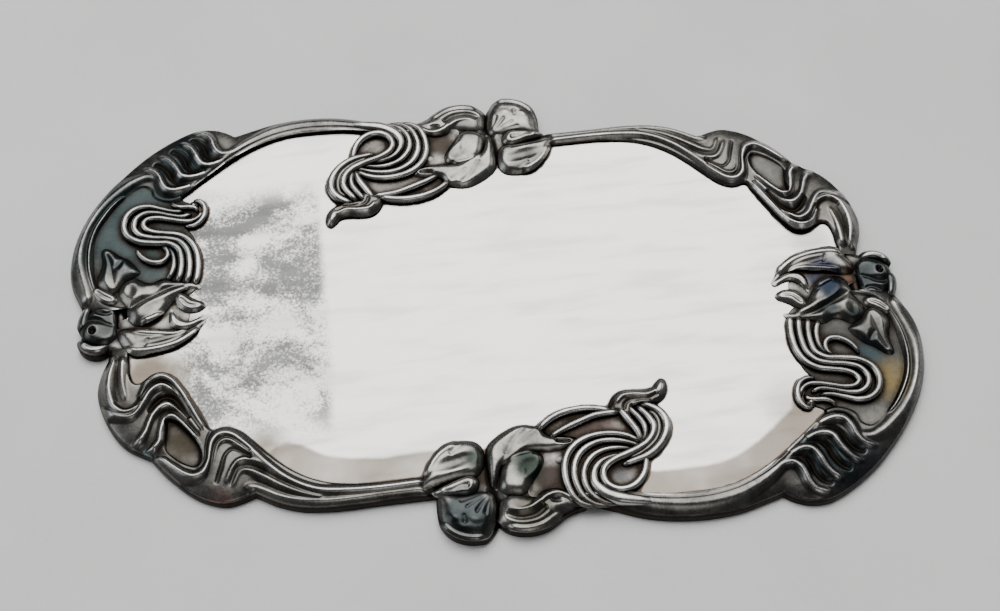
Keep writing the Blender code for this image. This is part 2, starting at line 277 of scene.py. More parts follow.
def net(loop, spacing):
    """The loop's points, then a triangular net of points inside it."""
    low, high = loop.min(0), loop.max(0)
    rows = []
    for k, y in enumerate(np.arange(low[1], high[1], spacing * NET_ROW)):
        xs = np.arange(low[0] + (k % 2) * spacing / 2, high[0], spacing)
        rows.append(np.stack([xs, np.full(len(xs), y)], axis=1))
    grid = np.vstack(rows)
    grid = grid[inside(grid, loop)]
    if len(grid):
        d, _, _ = nearest(grid, loop, closed=True)
        grid = grid[d > spacing * NET_MARGIN]
    return np.vstack([loop, grid])


def filled(points, rim):
    """Triangles over the points; the first rim points are the boundary, in order."""
    verts, _, faces, *_ = delaunay_2d_cdt([Vector(p) for p in points.tolist()], [],
                                          [list(range(rim))], INSIDE_ONLY, WELD)
    assert len(verts) == len(points)
    return faces


def relaxed(heights, faces, rim, rounds):
    """Heights averaged with their neighbours a few times; the first rim ones stay."""
    tri = np.array(faces)
    ends = np.vstack([tri[:, [0, 1]], tri[:, [1, 2]], tri[:, [2, 0]]])
    a, b = np.concatenate([ends[:, 0], ends[:, 1]]), np.concatenate([ends[:, 1], ends[:, 0]])
    count = np.bincount(a, minlength=len(heights))
    for _ in range(rounds):
        mean = np.bincount(a, heights[b], minlength=len(heights)) / np.maximum(count, 1)
        heights = np.concatenate([heights[:rim], 0.5 * (heights[rim:] + mean[rim:])])
    return heights


def shell(outline, base, features, low, spacing=SPACING, soften=(0, 1), under=None):
    """A closed relief: a lifted top, a wall at its edge and an underside.

    soften is how often the base, and then the whole relief, is averaged with its neighbours.
    The underside is flat at the height low, or follows under(points), which is low at the edge.
    """
    loop = resampled(outline, spacing)
    area = np.sum(loop[:, 0] * np.roll(loop[:, 1], -1) - loop[:, 1] * np.roll(loop[:, 0], -1))
    if area < 0:
        loop = loop[::-1]
    rim = len(loop)
    top = net(loop, spacing)
    top_faces = filled(top, rim)
    heights = relaxed(base(top), top_faces, rim, soften[0])
    for feature in features:
        heights = feature(top, heights)
    heights = np.maximum(relaxed(heights, top_faces, rim, soften[1]), low + LEAST_SHEET)
    bottom = net(loop, UNDER_SPACING) if under else loop
    depths = np.full(len(bottom), float(low))
    if under:
        depths[rim:] = under(bottom[rim:])
    verts = np.vstack([np.column_stack([top, heights]), np.column_stack([bottom, depths])])
    start = len(top)
    faces = [tuple(f) for f in top_faces]
    faces += [tuple(start + i for i in reversed(f)) for f in filled(bottom, rim)]
    for i in range(rim):
        j = (i + 1) % rim
        faces.append((i, start + i, start + j, j))
    return verts, faces


STRAND_TIP = 2.6         # length of a strand's tapered end over its half width
STRAND_ROUND = 0.5       # 1 is a half ellipse in section; less is broader on top
STRAND_LEAST = 0.05      # the share of its width and height left at its very end
STRAND_SIDES = 11        # points over its round, and their spacing along it
STRAND_STEP = 0.5


def strand(path, width, top, low):
    """A half-round strand: width and top are values spaced along the path."""
    line = smooth(path, STRAND_STEP)
    reach = np.concatenate([[0], np.cumsum(np.linalg.norm(np.diff(line, axis=0), axis=1))])
    share = reach / reach[-1]
    half = along(width, share) / 2
    crest = along(top, share)
    ends = np.minimum(reach, reach[-1] - reach)
    taper = np.clip(ends / (half * STRAND_TIP), 0, 1)
    taper = np.sqrt(taper * (2 - taper))
    tangent = np.gradient(line, axis=0)
    tangent /= np.linalg.norm(tangent, axis=1)[:, None]
    normal = np.stack([-tangent[:, 1], tangent[:, 0]], axis=1)
    verts, faces = [], []
    sides = STRAND_SIDES
    turns = np.linspace(0, math.pi, sides)
    for i, spot in enumerate(line):
        wide = half[i] * max(taper[i], STRAND_LEAST)
        tall = (crest[i] - low) * max(taper[i], STRAND_LEAST)
        for t in turns:
            xy = spot + normal[i] * wide * math.cos(t)
            verts.append((xy[0], xy[1], low + tall * math.sin(t) ** STRAND_ROUND))
    count = len(line)
    for i in range(count - 1):
        for k in range(sides):
            a, b = i * sides + k, i * sides + (k + 1) % sides
            faces.append((a, a + sides, b + sides, b))
    faces.append(tuple(range(sides)))
    faces.append(tuple((count - 1) * sides + k for k in reversed(range(sides))))
    return np.array(verts), faces


def pressed(body, level, share):
    """The body with its relief above a level brought down to a share of itself."""
    verts, faces = body
    verts = verts.copy()
    verts[:, 2] -= (1 - share) * np.maximum(verts[:, 2] - level, 0)
    return verts, faces


def joined(shells):
    """Several shells as one."""
    verts, faces, start = [], [], 0
    for v, f in shells:
        verts.append(v)
        faces += [tuple(start + i for i in face) for face in f]
        start += len(v)
    return np.vstack(verts), faces


def half_turned(body):
    """The body, half a turn about Z."""
    verts, faces = body
    verts = verts.copy()
    verts[:, :2] *= -1
    return verts, faces


def petal(outline, edge, crown, width, low, features=()):
    """A petal: height edge at its rim, rising to crown at a distance width inside it."""
    rim = smooth(outline, PETAL_STEP, closed=True)

    def base(points):
        d, _, _ = nearest(points, rim, closed=True)
        share = np.clip(d / width, 0, 1)
        return edge + (crown - edge) * (1 - (1 - share) ** PETAL_ROUND)
    return shell(rim, base, features, low, soften=PETAL_SOFTEN)


# ---------------------------------------------------------------- the tray's outer edge

EDGE = [
    [(-133.6, -3.5), (-134.4, -7.0), (-136.2, -11.0), (-137.4, -15.0), (-137.9, -19.0),
     (-136.6, -26.0), (-133.5, -33.5), (-128.5, -40.3), (-120.2, -45.7)],
    [(-120.2, -45.7), (-114.5, -53.0), (-106.2, -60.8), (-100.0, -64.1), (-95.2, -65.2),
     (-90.5, -64.4), (-86.0, -62.9)],
    [(-86.0, -62.9), (-79.0, -67.0), (-71.0, -69.8), (-60.0, -71.0), (-45.0, -70.8),
     (-27.0, -70.8)],
    [(-27.0, -70.8), (-27.3, -76.0), (-26.0, -81.0), (-22.0, -85.3), (-16.5, -88.0),
     (-12.5, -88.2), (-9.6, -86.0), (-7.6, -83.0)],
    [(-7.6, -83.0), (-3.0, -85.8), (3.0, -87.0), (8.0, -85.5), (12.5, -82.6), (16.0, -80.0)],
    [(16.0, -80.0), (20.5, -79.6), (24.5, -80.0), (31.0, -82.3), (40.0, -85.8), (50.0, -88.0),
     (62.0, -88.8), (72.0, -88.0), (80.0, -86.0), (87.0, -84.0)],
    [(87.0, -84.0), (90.5, -86.3), (95.0, -88.0), (101.0, -88.2), (108.0, -85.7),
     (119.0, -79.0), (128.0, -71.0), (136.0, -62.0), (142.2, -52.5), (146.2, -42.5),
     (147.8, -32.0), (147.0, -24.0), (144.6, -17.5), (142.4, -12.0)],
]
CORNER_EDGE = chain(*EDGE[0:3])
LOBE_EDGE = chain(*EDGE[3:5])
RAIL_EDGE = chain(*EDGE[5:7])

# Where the border meets the field.
CORNER_SEAM = [
    (-126.6, -4.0), (-126.8, -9.0), (-126.4, -13.5), (-124.8, -17.4), (-121.8, -17.4),
    (-118.8, -15.8), (-116.4, -15.2), (-114.2, -15.4), (-112.2, -16.6), (-110.4, -18.9),
    (-108.4, -21.9), (-104.7, -29.0), (-101.2, -35.6), (-99.3, -38.2), (-97.5, -38.2),
    (-94.8, -37.7), (-91.8, -38.6), (-88.8, -40.6), (-85.5, -44.0), (-82.0, -47.8),
    (-77.5, -52.4), (-72.5, -56.6), (-66.0, -60.3), (-58.0, -62.8), (-48.0, -64.2),
    (-33.0, -64.2), (-28.0, -64.2),
]
RAIL_SEAM = [
    (22.0, -74.0), (36.0, -78.0), (45.0, -79.9), (56.0, -80.6), (68.0, -80.0), (79.0, -76.6),
    (88.0, -71.8), (96.0, -66.0), (103.0, -60.6), (107.0, -56.5), (103.5, -54.0),
    (101.0, -50.5), (103.0, -47.5), (106.0, -45.0), (103.5, -40.0), (102.0, -34.0),
    (102.3, -28.0), (103.0, -18.0), (112.0, -12.0),
]


# The outer slope: its height at the rim, how much it climbs, over what run, and its rounding.
WALL_FOOT = 3.4
WALL_CLIMB = 2.6
WALL_RUN = 6.0
RIM_DROP = 1.1
RIM_ROUND = 1.0
# The cap that keeps the relief off the rim: its height at the rim, and how fast it climbs.
CAP_FOOT = 2.3
CAP_CLIMB = 1.35
CAP_RUN = 2.6
CAP_BLEND = 0.3
# The inner slope, and the lip that stands over the field at its foot.
INNER_SLOPE = 1.8
INNER_LIP = 0.15
SHOULDER_BLEND = 0.5
# The turned-under edge, and the hollow inside it.
TURN_UNDER = 2.6
TURN_UP = 2.9
UNDER_GAP = 0.04


def outer_wall(d):
    """Height of the border's outer slope at a distance from the tray's edge."""
    climb = WALL_CLIMB * (1 - np.exp(-d / WALL_RUN))
    return WALL_FOOT + climb - RIM_DROP * np.clip(1 - d / RIM_ROUND, 0, 1) ** 2


def border_base(edge, seam):
    """The border's ground: the outer slope up to a broad shoulder, and the drop to the field."""
    def base(points):
        d_out, _, _ = nearest(points, edge)
        d_in, _, _ = nearest(points, seam)
        inner = FIELD_TOP + INNER_LIP + INNER_SLOPE * d_in
        return lower(outer_wall(d_out), inner, SHOULDER_BLEND)
    return base


def border_under(edge):
    """The underside of a stamping: a turned-under lip at the edge, hollow inside it."""
    def under(points):
        d, _, _ = nearest(points, edge)
        return np.interp(d, [0, TURN_UNDER, TURN_UP], [FOOT, FOOT, FIELD_TOP + UNDER_GAP])
    return under


def rounded_rim(edge):
    """Keeps the relief under a rounded shoulder at the outer edge."""
    def apply(points, heights):
        d, _, _ = nearest(points, edge)
        return lower(heights, CAP_FOOT + CAP_CLIMB * np.sqrt(d * CAP_RUN), CAP_BLEND)
    return apply


def border_shell(edge, seam_points, features):
    """A border stamping between the tray's edge and the seam with the field."""
    seam = smooth(seam_points)
    outline = np.vstack([edge, seam[::-1]])
    base = border_base(edge, seam)
    return shell(outline, base, features + [rounded_rim(edge)], FOOT, soften=(0, 2),
                 under=border_under(edge))


# ---------------------------------------------------------------- corner border

CORNER_FEATURES = [
    # the inner twin line beside the end flower, then the two big wave ridges
    ridge([(-128.2, -5.0), (-128.9, -11.5), (-128.8, -17.0), (-127.8, -23.0), (-127.2, -27.0)],
          [6.3, 6.3, 6.2, 6.0, 5.6], 0.95, 0.8),
    ridge([(-131.6, -5.0), (-132.6, -10.0), (-133.4, -16.0), (-133.2, -21.0), (-131.9, -25.4),
           (-129.7, -27.8), (-127.3, -28.4), (-125.0, -27.6), (-122.7, -25.2), (-121.0, -22.0),
           (-119.2, -19.0), (-117.4, -17.6), (-115.5, -17.3), (-113.3, -18.5), (-111.2, -21.2),
           (-108.3, -25.9), (-105.3, -31.9), (-102.4, -37.6), (-100.6, -40.2)],
          [6.4, 6.5, 6.6, 6.6, 6.6, 6.7, 7.2, 8.0, 8.0, 7.7, 7.3, 6.8, 6.4], 1.05, 1.0),
    valley([(-131.4, -24.0), (-128.0, -26.8), (-125.0, -26.0), (-122.9, -23.2)], 5.3, 1.5, 0.4),
    ridge([(-136.4, -24.0), (-135.0, -26.6), (-132.0, -28.8), (-128.2, -30.3),
           (-125.5, -30.2), (-123.5, -28.6), (-121.6, -25.6), (-119.6, -22.4),
           (-117.4, -20.7), (-115.2, -20.2), (-113.0, -21.3), (-111.0, -23.8),
           (-108.6, -28.2), (-105.6, -34.0), (-103.4, -38.0), (-101.8, -40.8)],
          [5.6, 6.2, 6.6, 7.1, 7.3, 7.1, 6.9, 6.6, 6.4], 1.1, 0.8),
    valley([(-123.0, -25.6), (-120.5, -21.4), (-118.0, -19.0), (-115.2, -18.7), (-112.2, -20.6),
            (-109.6, -24.4), (-106.8, -30.0), (-104.2, -35.2), (-102.0, -39.0)],
           [6.0, 6.2, 6.2, 6.0, 5.6, 5.4], 1.6, 0.25),
    ridge([(-127.0, -41.4), (-123.6, -39.8), (-121.2, -36.8), (-119.8, -33.4),
           (-118.2, -30.2), (-116.0, -28.2), (-113.8, -27.6), (-111.4, -28.3),
           (-109.0, -30.8), (-106.0, -34.9), (-103.3, -39.2), (-101.8, -42.0)],
          [5.6, 6.2, 6.6, 6.9, 6.8, 6.6, 6.3], 1.05, 0.8),
    valley([(-120.4, -30.0), (-118.0, -26.6), (-115.0, -24.4), (-112.0, -25.2), (-109.0, -29.2),
            (-106.2, -33.8)], [5.2, 4.7, 4.6, 4.8, 5.4], 1.2, 0.5),
    ridge([(-122.6, -44.0), (-119.4, -43.6), (-117.4, -41.8), (-116.6, -40.5),
           (-116.1, -37.0), (-115.0, -33.8), (-113.3, -32.0), (-111.3, -32.2),
           (-109.0, -34.4), (-106.4, -37.8), (-103.8, -41.6), (-102.4, -43.8)],
          [6.0, 6.2, 6.3, 6.5, 6.6, 6.5, 6.3, 6.0], 1.1, 0.7),
    valley([(-117.6, -36.0), (-116.6, -31.8), (-114.2, -29.8), (-111.6, -30.2), (-108.6, -33.2),
            (-105.4, -37.6), (-103.0, -41.2)], [5.6, 5.2, 5.2, 5.4, 5.6], 1.5, 0.3),
    window([(-113.8, -33.4), (-111.5, -34.2), (-108.0, -38.0), (-104.9, -42.4), (-103.4, -46.0),
            (-103.4, -50.0), (-105.3, -51.0), (-109.0, -49.4), (-112.0, -47.0), (-114.6, -43.8),
            (-114.4, -40.0), (-114.0, -36.0)], 4.35, 2.2),
    ridge([(-116.5, -46.0), (-113.5, -49.0), (-110.0, -51.5), (-107.0, -52.6), (-104.5, -52.4),
           (-103.2, -50.5)], [5.4, 5.6, 5.6, 5.4], 1.6, 0.3),
    # the long sweep that ends in the rail beside the field
    ridge([(-118.6, -44.8), (-117.0, -46.6), (-113.2, -50.3), (-109.0, -53.6), (-105.6, -54.9),
           (-102.6, -54.0), (-100.8, -51.0), (-100.1, -47.2), (-99.3, -43.6), (-97.4, -41.2),
           (-94.9, -40.6), (-92.2, -41.7), (-89.6, -44.2), (-85.8, -48.4), (-81.4, -53.4),
           (-76.4, -58.3), (-71.0, -62.0), (-65.0, -64.6), (-57.0, -65.8), (-47.0, -66.3),
           (-28.0, -66.0)], [5.8, 6.4, 6.7, 6.8, 6.9, 6.8, 6.7, 6.6, 6.5, 6.4, 6.3, 6.3],
          (0.9, 1.2), 0.9),
    ridge([(-102.0, -56.0), (-100.5, -53.0), (-98.9, -49.5), (-98.0, -45.8), (-96.6, -43.6),
           (-94.8, -43.0), (-92.5, -43.6), (-90.2, -45.4), (-87.0, -48.6), (-83.0, -52.8),
           (-79.3, -56.8), (-75.0, -60.2)], [5.4, 6.0, 6.5, 6.7, 6.6, 6.4, 6.0], 1.05, 0.8),
    valley([(-101.6, -56.6), (-99.9, -52.0), (-98.9, -47.0), (-97.8, -43.8), (-95.4, -41.9),
            (-93.0, -42.4), (-90.2, -44.6), (-86.4, -48.4)], [5.2, 5.6, 5.8, 5.9, 6.0], 1.8, 0.2),
    ridge([(-96.8, -61.4), (-96.0, -60.0), (-94.5, -56.5), (-93.0, -53.5), (-91.0, -51.3),
           (-88.5, -50.8), (-85.5, -51.6), (-82.0, -53.9), (-78.5, -56.6), (-75.0, -59.4)],
          [5.0, 5.8, 6.4, 6.6, 6.4, 6.1], 1.05, 0.8),
    valley([(-98.6, -58.6), (-96.6, -53.0), (-95.0, -48.4), (-92.6, -46.6), (-89.6, -48.2),
            (-86.0, -50.6)], [4.6, 5.0, 5.4, 5.4, 5.6], 1.2, 0.35),
    ridge([(-95.6, -62.6), (-95.0, -61.5), (-92.5, -58.5), (-91.2, -56.0), (-89.6, -54.6),
           (-87.0, -55.0), (-83.0, -57.4), (-78.0, -60.9), (-72.0, -64.3), (-66.0, -66.6),
           (-60.5, -67.6)], [4.6, 5.4, 6.0, 6.3, 6.3, 6.2, 5.9, 5.6], 1.2, 1.0),
    valley([(-94.0, -60.0), (-92.6, -56.2), (-91.0, -53.4), (-88.6, -52.9), (-85.0, -54.2),
            (-80.6, -57.2)], [4.8, 5.2, 5.4, 5.6], 1.6, 0.25),
    ridge([(-92.0, -61.6), (-88.0, -60.2), (-84.0, -61.8), (-79.0, -64.8), (-74.0, -66.9),
           (-66.0, -68.4), (-56.0, -69.0), (-44.0, -68.8), (-28.0, -68.6)],
          [4.8, 5.4, 5.6, 5.6, 5.6, 5.6, 5.6], (1.0, 1.4), 2.4),
    valley([(-98.4, -37.6), (-100.4, -41.0), (-101.3, -45.0), (-101.8, -49.0), (-103.6, -52.2)],
           [5.6, 5.4, 5.2, 5.0], 1.5, 0.25),
]


# ---------------------------------------------------------------- rail border

RAIL_FEATURES = [
    # the basin behind the end tendril
    hollow((127.0, -48.0), (22.0, 26.0), 4.4, 0.0, 1.2),
    # the long roll beside the field, with a fine groove on its inner side
    ridge([(16.0, -78.0), (24.0, -78.6), (33.5, -79.4), (40.0, -81.2), (46.0, -82.6),
           (53.5, -83.8), (62.0, -84.0), (72.0, -82.6), (80.0, -79.4), (86.0, -75.8),
           (92.0, -71.4), (98.0, -66.8), (103.0, -62.2), (108.0, -57.0)],
          [5.8, 6.3, 6.3, 6.3, 6.3, 6.4, 6.7, 6.4, 5.8], (0.7, 2.0),
          [1.4, 4.0, 6.0, 6.0, 4.0, 2.0, 1.0]),
    valley([(24.0, -76.6), (33.0, -78.0), (40.0, -79.7), (46.0, -81.1), (55.0, -82.1),
            (64.0, -82.0), (73.0, -80.2), (81.0, -76.9), (88.0, -72.6), (96.0, -66.6),
            (103.0, -60.9)], [5.7, 5.8, 5.9, 5.9, 5.9, 5.9], 1.0, 0.12),
    # the crests of the ripples
    ridge([(86.4, -75.2), (89.4, -74.2), (91.8, -74.2), (93.6, -75.6), (94.8, -78.2),
           (95.6, -81.4), (97.4, -84.0), (100.6, -85.2), (105.0, -84.6)],
          [6.6, 7.0, 7.0, 6.6, 6.0, 5.4, 4.8], (1.0, 1.3), 1.2, (1.0, 6.0)),
    ridge([(91.0, -71.6), (94.4, -70.2), (97.0, -69.6), (99.2, -70.4), (100.8, -72.8),
           (102.0, -76.0), (103.8, -79.0), (106.6, -81.2), (110.4, -81.8)],
          [6.6, 7.1, 7.2, 7.0, 6.4, 5.8, 5.0], (1.0, 1.3), 1.2, (1.0, 6.0)),
    ridge([(97.4, -66.8), (100.8, -65.6), (104.0, -65.0), (106.6, -65.8), (108.4, -68.4),
           (109.8, -71.6), (112.0, -74.4), (115.0, -76.0), (118.6, -75.8)],
          [6.6, 7.1, 7.2, 7.0, 6.4, 5.8, 5.0], (1.0, 1.3), 1.2, (1.0, 6.0)),
    ridge([(103.0, -61.8), (106.6, -60.4), (110.0, -59.9), (112.6, -60.9), (114.2, -63.6),
           (115.2, -66.8), (117.2, -69.6), (120.4, -71.0), (124.4, -70.2)],
          [6.4, 7.0, 7.1, 6.9, 6.4, 5.9, 5.2], (1.0, 1.3), 1.1, (1.0, 6.0)),
    valley([(93.4, -72.0), (96.2, -72.8), (97.8, -75.2), (98.8, -78.6), (100.8, -81.6),
            (104.0, -83.0)], [5.8, 4.9, 4.4, 4.2, 4.1], 0.9, 0.3),
    valley([(99.6, -67.6), (102.8, -68.0), (104.8, -70.2), (106.0, -73.6), (108.0, -76.8),
            (111.2, -78.8)], [5.8, 4.9, 4.4, 4.2, 4.1], 0.9, 0.3),
    valley([(105.4, -62.8), (108.6, -63.0), (110.6, -65.2), (112.0, -68.6), (114.2, -71.6),
            (117.4, -73.2)], [5.8, 5.0, 4.5, 4.3, 4.2], 0.9, 0.3),
    # the sunk panel, the outer band and the line inside it
    window([(138.3, -24.0), (139.0, -32.0), (138.7, -41.3), (137.0, -48.0), (134.0, -53.0),
            (130.4, -57.4), (126.4, -60.6), (121.4, -63.6), (118.4, -62.0), (117.4, -58.6),
            (112.0, -55.6), (104.0, -56.0), (98.0, -52.0), (100.0, -30.0), (104.0, -14.0),
            (120.0, -12.0), (136.0, -16.0)], 4.55, 1.6),
    ridge([(140.4, -14.0), (141.4, -21.3), (143.0, -28.0), (144.0, -34.7), (143.7, -40.0),
           (142.0, -46.7), (138.7, -52.7), (134.7, -57.7), (130.0, -62.2), (124.7, -65.9),
           (119.6, -67.6), (116.4, -66.0), (114.6, -62.6)],
          [5.8, 6.0, 6.1, 6.1, 6.0, 6.0, 5.9, 6.2], 0.7, 1.4, (5.0, 8.0)),
    ridge([(137.6, -18.0), (139.4, -24.0), (140.6, -31.0), (140.4, -39.0), (138.6, -46.0),
           (135.2, -52.2), (131.0, -57.6), (126.0, -61.6)], [5.4, 5.9, 5.9, 5.9, 5.9, 5.4],
          1.6, 0.3),
]


# ---------------------------------------------------------------- side flower

SIDE_GROUND = [
    (-31.0, -66.0), (-27.4, -60.6), (-20.0, -58.0), (-12.0, -58.6), (-8.0, -60.0), (0.0, -56.0),
    (10.0, -55.0), (15.0, -57.6), (19.0, -62.0), (20.0, -70.0), (20.0, -76.0),
]

LOBE_STEP = 0.9          # how far the ground between the lobes lies under the border's slope
SIDE_PRESS = (4.8, 0.80)  # relief above this height is brought down to this share


def side_flower():
    """An iris seen from the side: two standing petals, a throat and three hanging lobes."""
    def wall(points):
        return outer_wall(nearest(points, LOBE_EDGE)[0]) - LOBE_STEP

    ground_outline = np.vstack([LOBE_EDGE, smooth(SIDE_GROUND)[::-1]])
    bodies = [
        shell(ground_outline, wall, [
            valley([(-9.0, -58.6), (-8.7, -64.0), (-8.5, -69.0), (-8.0, -75.0), (-7.6, -82.0)],
                   [4.35, 4.35, 4.2, 3.0, 2.8], 0.5, 0.8),
        ], FOOT),
        # left standing petal, the fold that rolls out under it, and the hanging lobe
        petal([(-33.4, -68.0), (-31.4, -65.2), (-29.7, -61.8), (-27.7, -58.6), (-25.0, -55.5),
               (-22.1, -53.5), (-18.7, -52.6), (-15.4, -52.6), (-12.3, -53.4), (-10.3, -55.3),
               (-9.4, -58.4), (-9.6, -61.8), (-10.6, -65.0), (-13.0, -66.8), (-18.0, -67.0),
               (-24.0, -67.6), (-29.0, -68.2)], 4.6, 7.0, 4.0, FIELD_TOP, [
            hollow((-20.6, -60.6), (7.4, 2.3), 6.0, 12, 0.9, 0.8),
            ridge([(-31.0, -66.6), (-28.6, -62.6), (-26.2, -59.0), (-23.4, -56.4),
                   (-20.0, -55.0), (-16.0, -54.8)], [5.6, 6.4, 6.9, 7.1, 7.0], 0.8, 0.7),
            ridge([(-29.0, -66.2), (-24.0, -64.4), (-19.0, -63.6), (-14.4, -62.6),
                   (-11.8, -60.4)], [5.8, 6.7, 7.0, 7.0, 6.2], 0.9, 0.6),
            valley([(-15.6, -53.4), (-18.6, -55.6), (-21.6, -57.6)], [6.2, 6.55, 6.4], 0.35, 0.2),
        ]),
        petal([(-28.4, -69.8), (-25.4, -67.8), (-22.3, -66.4), (-19.1, -65.2), (-16.1, -64.5),
               (-13.2, -65.2), (-11.6, -67.5), (-12.1, -70.4), (-13.8, -72.6), (-16.7, -73.6),
               (-20.0, -73.4), (-23.5, -72.6), (-26.4, -71.8)], 4.0, 7.2, 3.6, 2.5, [
            valley([(-25.0, -70.4), (-21.6, -70.4), (-18.4, -69.2), (-15.4, -69.4)],
                   [5.9, 6.4, 6.6, 6.3], 0.45, 0.3, 0.6),
        ]),
        petal([(-26.6, -70.0), (-27.2, -74.6), (-27.3, -77.6), (-26.7, -81.0), (-24.6, -84.4),
               (-21.5, -86.8), (-17.8, -88.1), (-14.2, -88.3), (-11.6, -87.4), (-9.8, -85.2),
               (-8.4, -82.2), (-7.3, -78.2), (-7.2, -74.5), (-8.0, -71.4), (-11.0, -70.0),
               (-14.0, -70.0), (-18.0, -70.4), (-22.5, -69.6)], 3.4, 6.3, 6.0, FOOT, [
            valley([(-8.8, -73.6), (-10.6, -77.0), (-11.8, -80.6)], [5.0, 5.6, 5.5], 0.6, 0.1),
            valley([(-9.2, -73.0), (-12.4, -76.0), (-15.0, -79.4)], [5.2, 5.8, 5.8], 0.6, 0.1),
            valley([(-9.8, -72.6), (-14.2, -74.8), (-18.4, -77.2)], [5.4, 5.9, 5.9], 0.6, 0.1),
            valley([(-10.4, -72.2), (-15.2, -73.4), (-20.2, -74.4)], [5.4, 5.7, 5.6], 0.6, 0.1),
            dome((-21.6, -79.6), (2.4, 1.8), 6.5, -40, 1.0, 0.7),
            dome((-15.4, -81.0), (2.6, 2.0), 6.6, -20, 1.0, 0.7),
            valley([(-19.0, -78.4), (-18.6, -80.6), (-19.0, -83.0)], [6.1, 5.9, 5.6], 0.5, 0.2),
            ridge([(-26.2, -78.0), (-24.9, -82.0), (-21.6, -85.2), (-17.6, -86.8),
                   (-13.6, -86.9), (-10.9, -84.8)], [4.8, 5.3, 5.4, 5.4, 4.8], 1.0, 0.5),
        ]),
        # right standing petal with its pointed tip, and the tongue under it
        petal([(-9.6, -62.5), (-9.4, -58.5), (-8.2, -55.4), (-5.6, -53.0), (-2.0, -50.8),
               (1.5, -49.4), (4.9, -49.2), (8.2, -50.0), (10.8, -51.0), (12.0, -53.2),
               (14.4, -54.3), (18.3, -55.0), (21.8, -55.9), (22.8, -57.4), (21.1, -59.2),
               (17.6, -60.4), (13.6, -60.8), (10.9, -60.8), (8.3, -60.4), (5.0, -60.4),
               (1.6, -61.0), (-2.0, -62.8), (-4.6, -65.4), (-6.0, -69.0), (-7.0, -71.8),
               (-8.6, -70.4), (-9.4, -66.4)], 4.6, 7.2, 3.2, FIELD_TOP, [
            valley([(5.0, -50.4), (2.2, -53.0), (-0.6, -56.4), (-2.6, -60.4)],
                   [6.1, 6.7, 6.8, 6.5], 0.38, 0.2, 0.6),
            valley([(9.2, -51.8), (5.4, -54.0), (2.0, -57.2)], [6.3, 6.8, 6.9], 0.38, 0.2, 0.6),
            ridge([(11.4, -52.4), (7.0, -55.4), (2.0, -58.4), (-2.6, -61.4), (-5.6, -65.2)],
                  [6.2, 7.0, 7.2, 7.0, 6.2], 0.7, 0.8),
            ridge([(10.6, -56.8), (15.0, -57.0), (19.6, -57.2), (22.0, -57.6)],
                  [6.4, 6.6, 6.3, 5.6], 0.9, 0.8),
            valley([(14.4, -56.6), (17.0, -57.1), (20.0, -57.4)], [5.6, 5.2, 5.4], 1.6, 0.2),
        ]),
        petal([(-6.4, -67.0), (-5.2, -63.0), (-2.8, -60.0), (0.6, -58.6), (4.2, -58.2),
               (7.4, -58.4), (9.6, -59.4), (10.8, -62.1), (10.3, -64.9), (8.8, -67.3),
               (7.0, -69.4), (5.2, -71.8), (3.6, -74.4), (0.9, -75.4), (-3.0, -74.8),
               (-6.0, -73.2), (-7.0, -70.0)], 3.9, 7.2, 4.4, 2.6, [
            hollow((5.8, -64.8), (3.4, 2.8), 6.3, 20, 0.5, 0.8),
            ridge([(-3.6, -64.4), (-1.0, -61.6), (2.6, -60.3), (6.6, -60.2), (9.0, -61.4)],
                  [6.3, 6.9, 7.1, 6.9, 6.2], 0.9, 0.7),
            ridge([(-2.0, -72.4), (1.4, -69.4), (2.6, -66.0), (1.8, -62.6)],
                  [6.0, 6.9, 7.1, 6.8], 0.8, 0.8),
        ]),
        # the bridge to the tendril, and the lobe whose leaf sweeps along it
        petal([(8.4, -58.6), (13.0, -59.4), (18.4, -60.4), (19.2, -66.2), (19.0, -72.0),
               (18.2, -77.2), (14.0, -77.0), (7.5, -76.0), (3.4, -75.0), (4.2, -70.4),
               (7.0, -67.1), (9.0, -63.0)], 5.2, 4.5, 3.0, 2.6, [
            dome((15.6, -63.6), (3.0, 2.4), 5.3, 0, 0.8, 0.6),
        ]),
        petal([(-7.7, -82.6), (-7.7, -79.0), (-6.8, -75.2), (-4.4, -72.8), (-0.8, -72.4),
               (2.6, -73.4), (6.2, -74.0), (9.7, -73.4), (13.3, -73.6), (16.6, -75.6),
               (19.4, -78.4), (21.8, -80.4), (17.9, -81.4), (14.8, -82.6), (11.4, -84.8),
               (8.4, -86.4), (4.5, -87.4), (0.6, -87.4), (-3.2, -86.5), (-6.0, -84.8)],
              3.4, 6.2, 6.0, FOOT, [
            ridge([(-6.0, -77.0), (-2.8, -79.2), (2.0, -79.8), (6.0, -78.0), (9.4, -75.8),
                   (13.0, -75.2), (17.0, -77.4), (20.4, -80.0)],
                  [5.6, 6.5, 6.8, 6.8, 6.6, 6.3, 5.8, 5.0], 1.0, 0.6),
            valley([(-5.4, -80.2), (-1.0, -82.2), (4.6, -81.8), (8.6, -79.2)],
                   [4.9, 5.0, 5.0, 5.2], 0.8, 0.5, 0.6),
            hollow((12.2, -77.6), (2.4, 1.2), 5.0, -10, 1.0, 0.5),
            ridge([(-6.2, -82.4), (-3.4, -84.8), (1.0, -85.9), (6.0, -85.3), (11.0, -82.6),
                   (15.4, -80.6)], [4.9, 5.4, 5.5, 5.5, 5.4, 4.9], 1.0, 0.7),
        ]),
    ]
    return pressed(joined(bodies), *SIDE_PRESS)


# ---------------------------------------------------------------- end flower

END_PRESS = (4.8, 0.68)


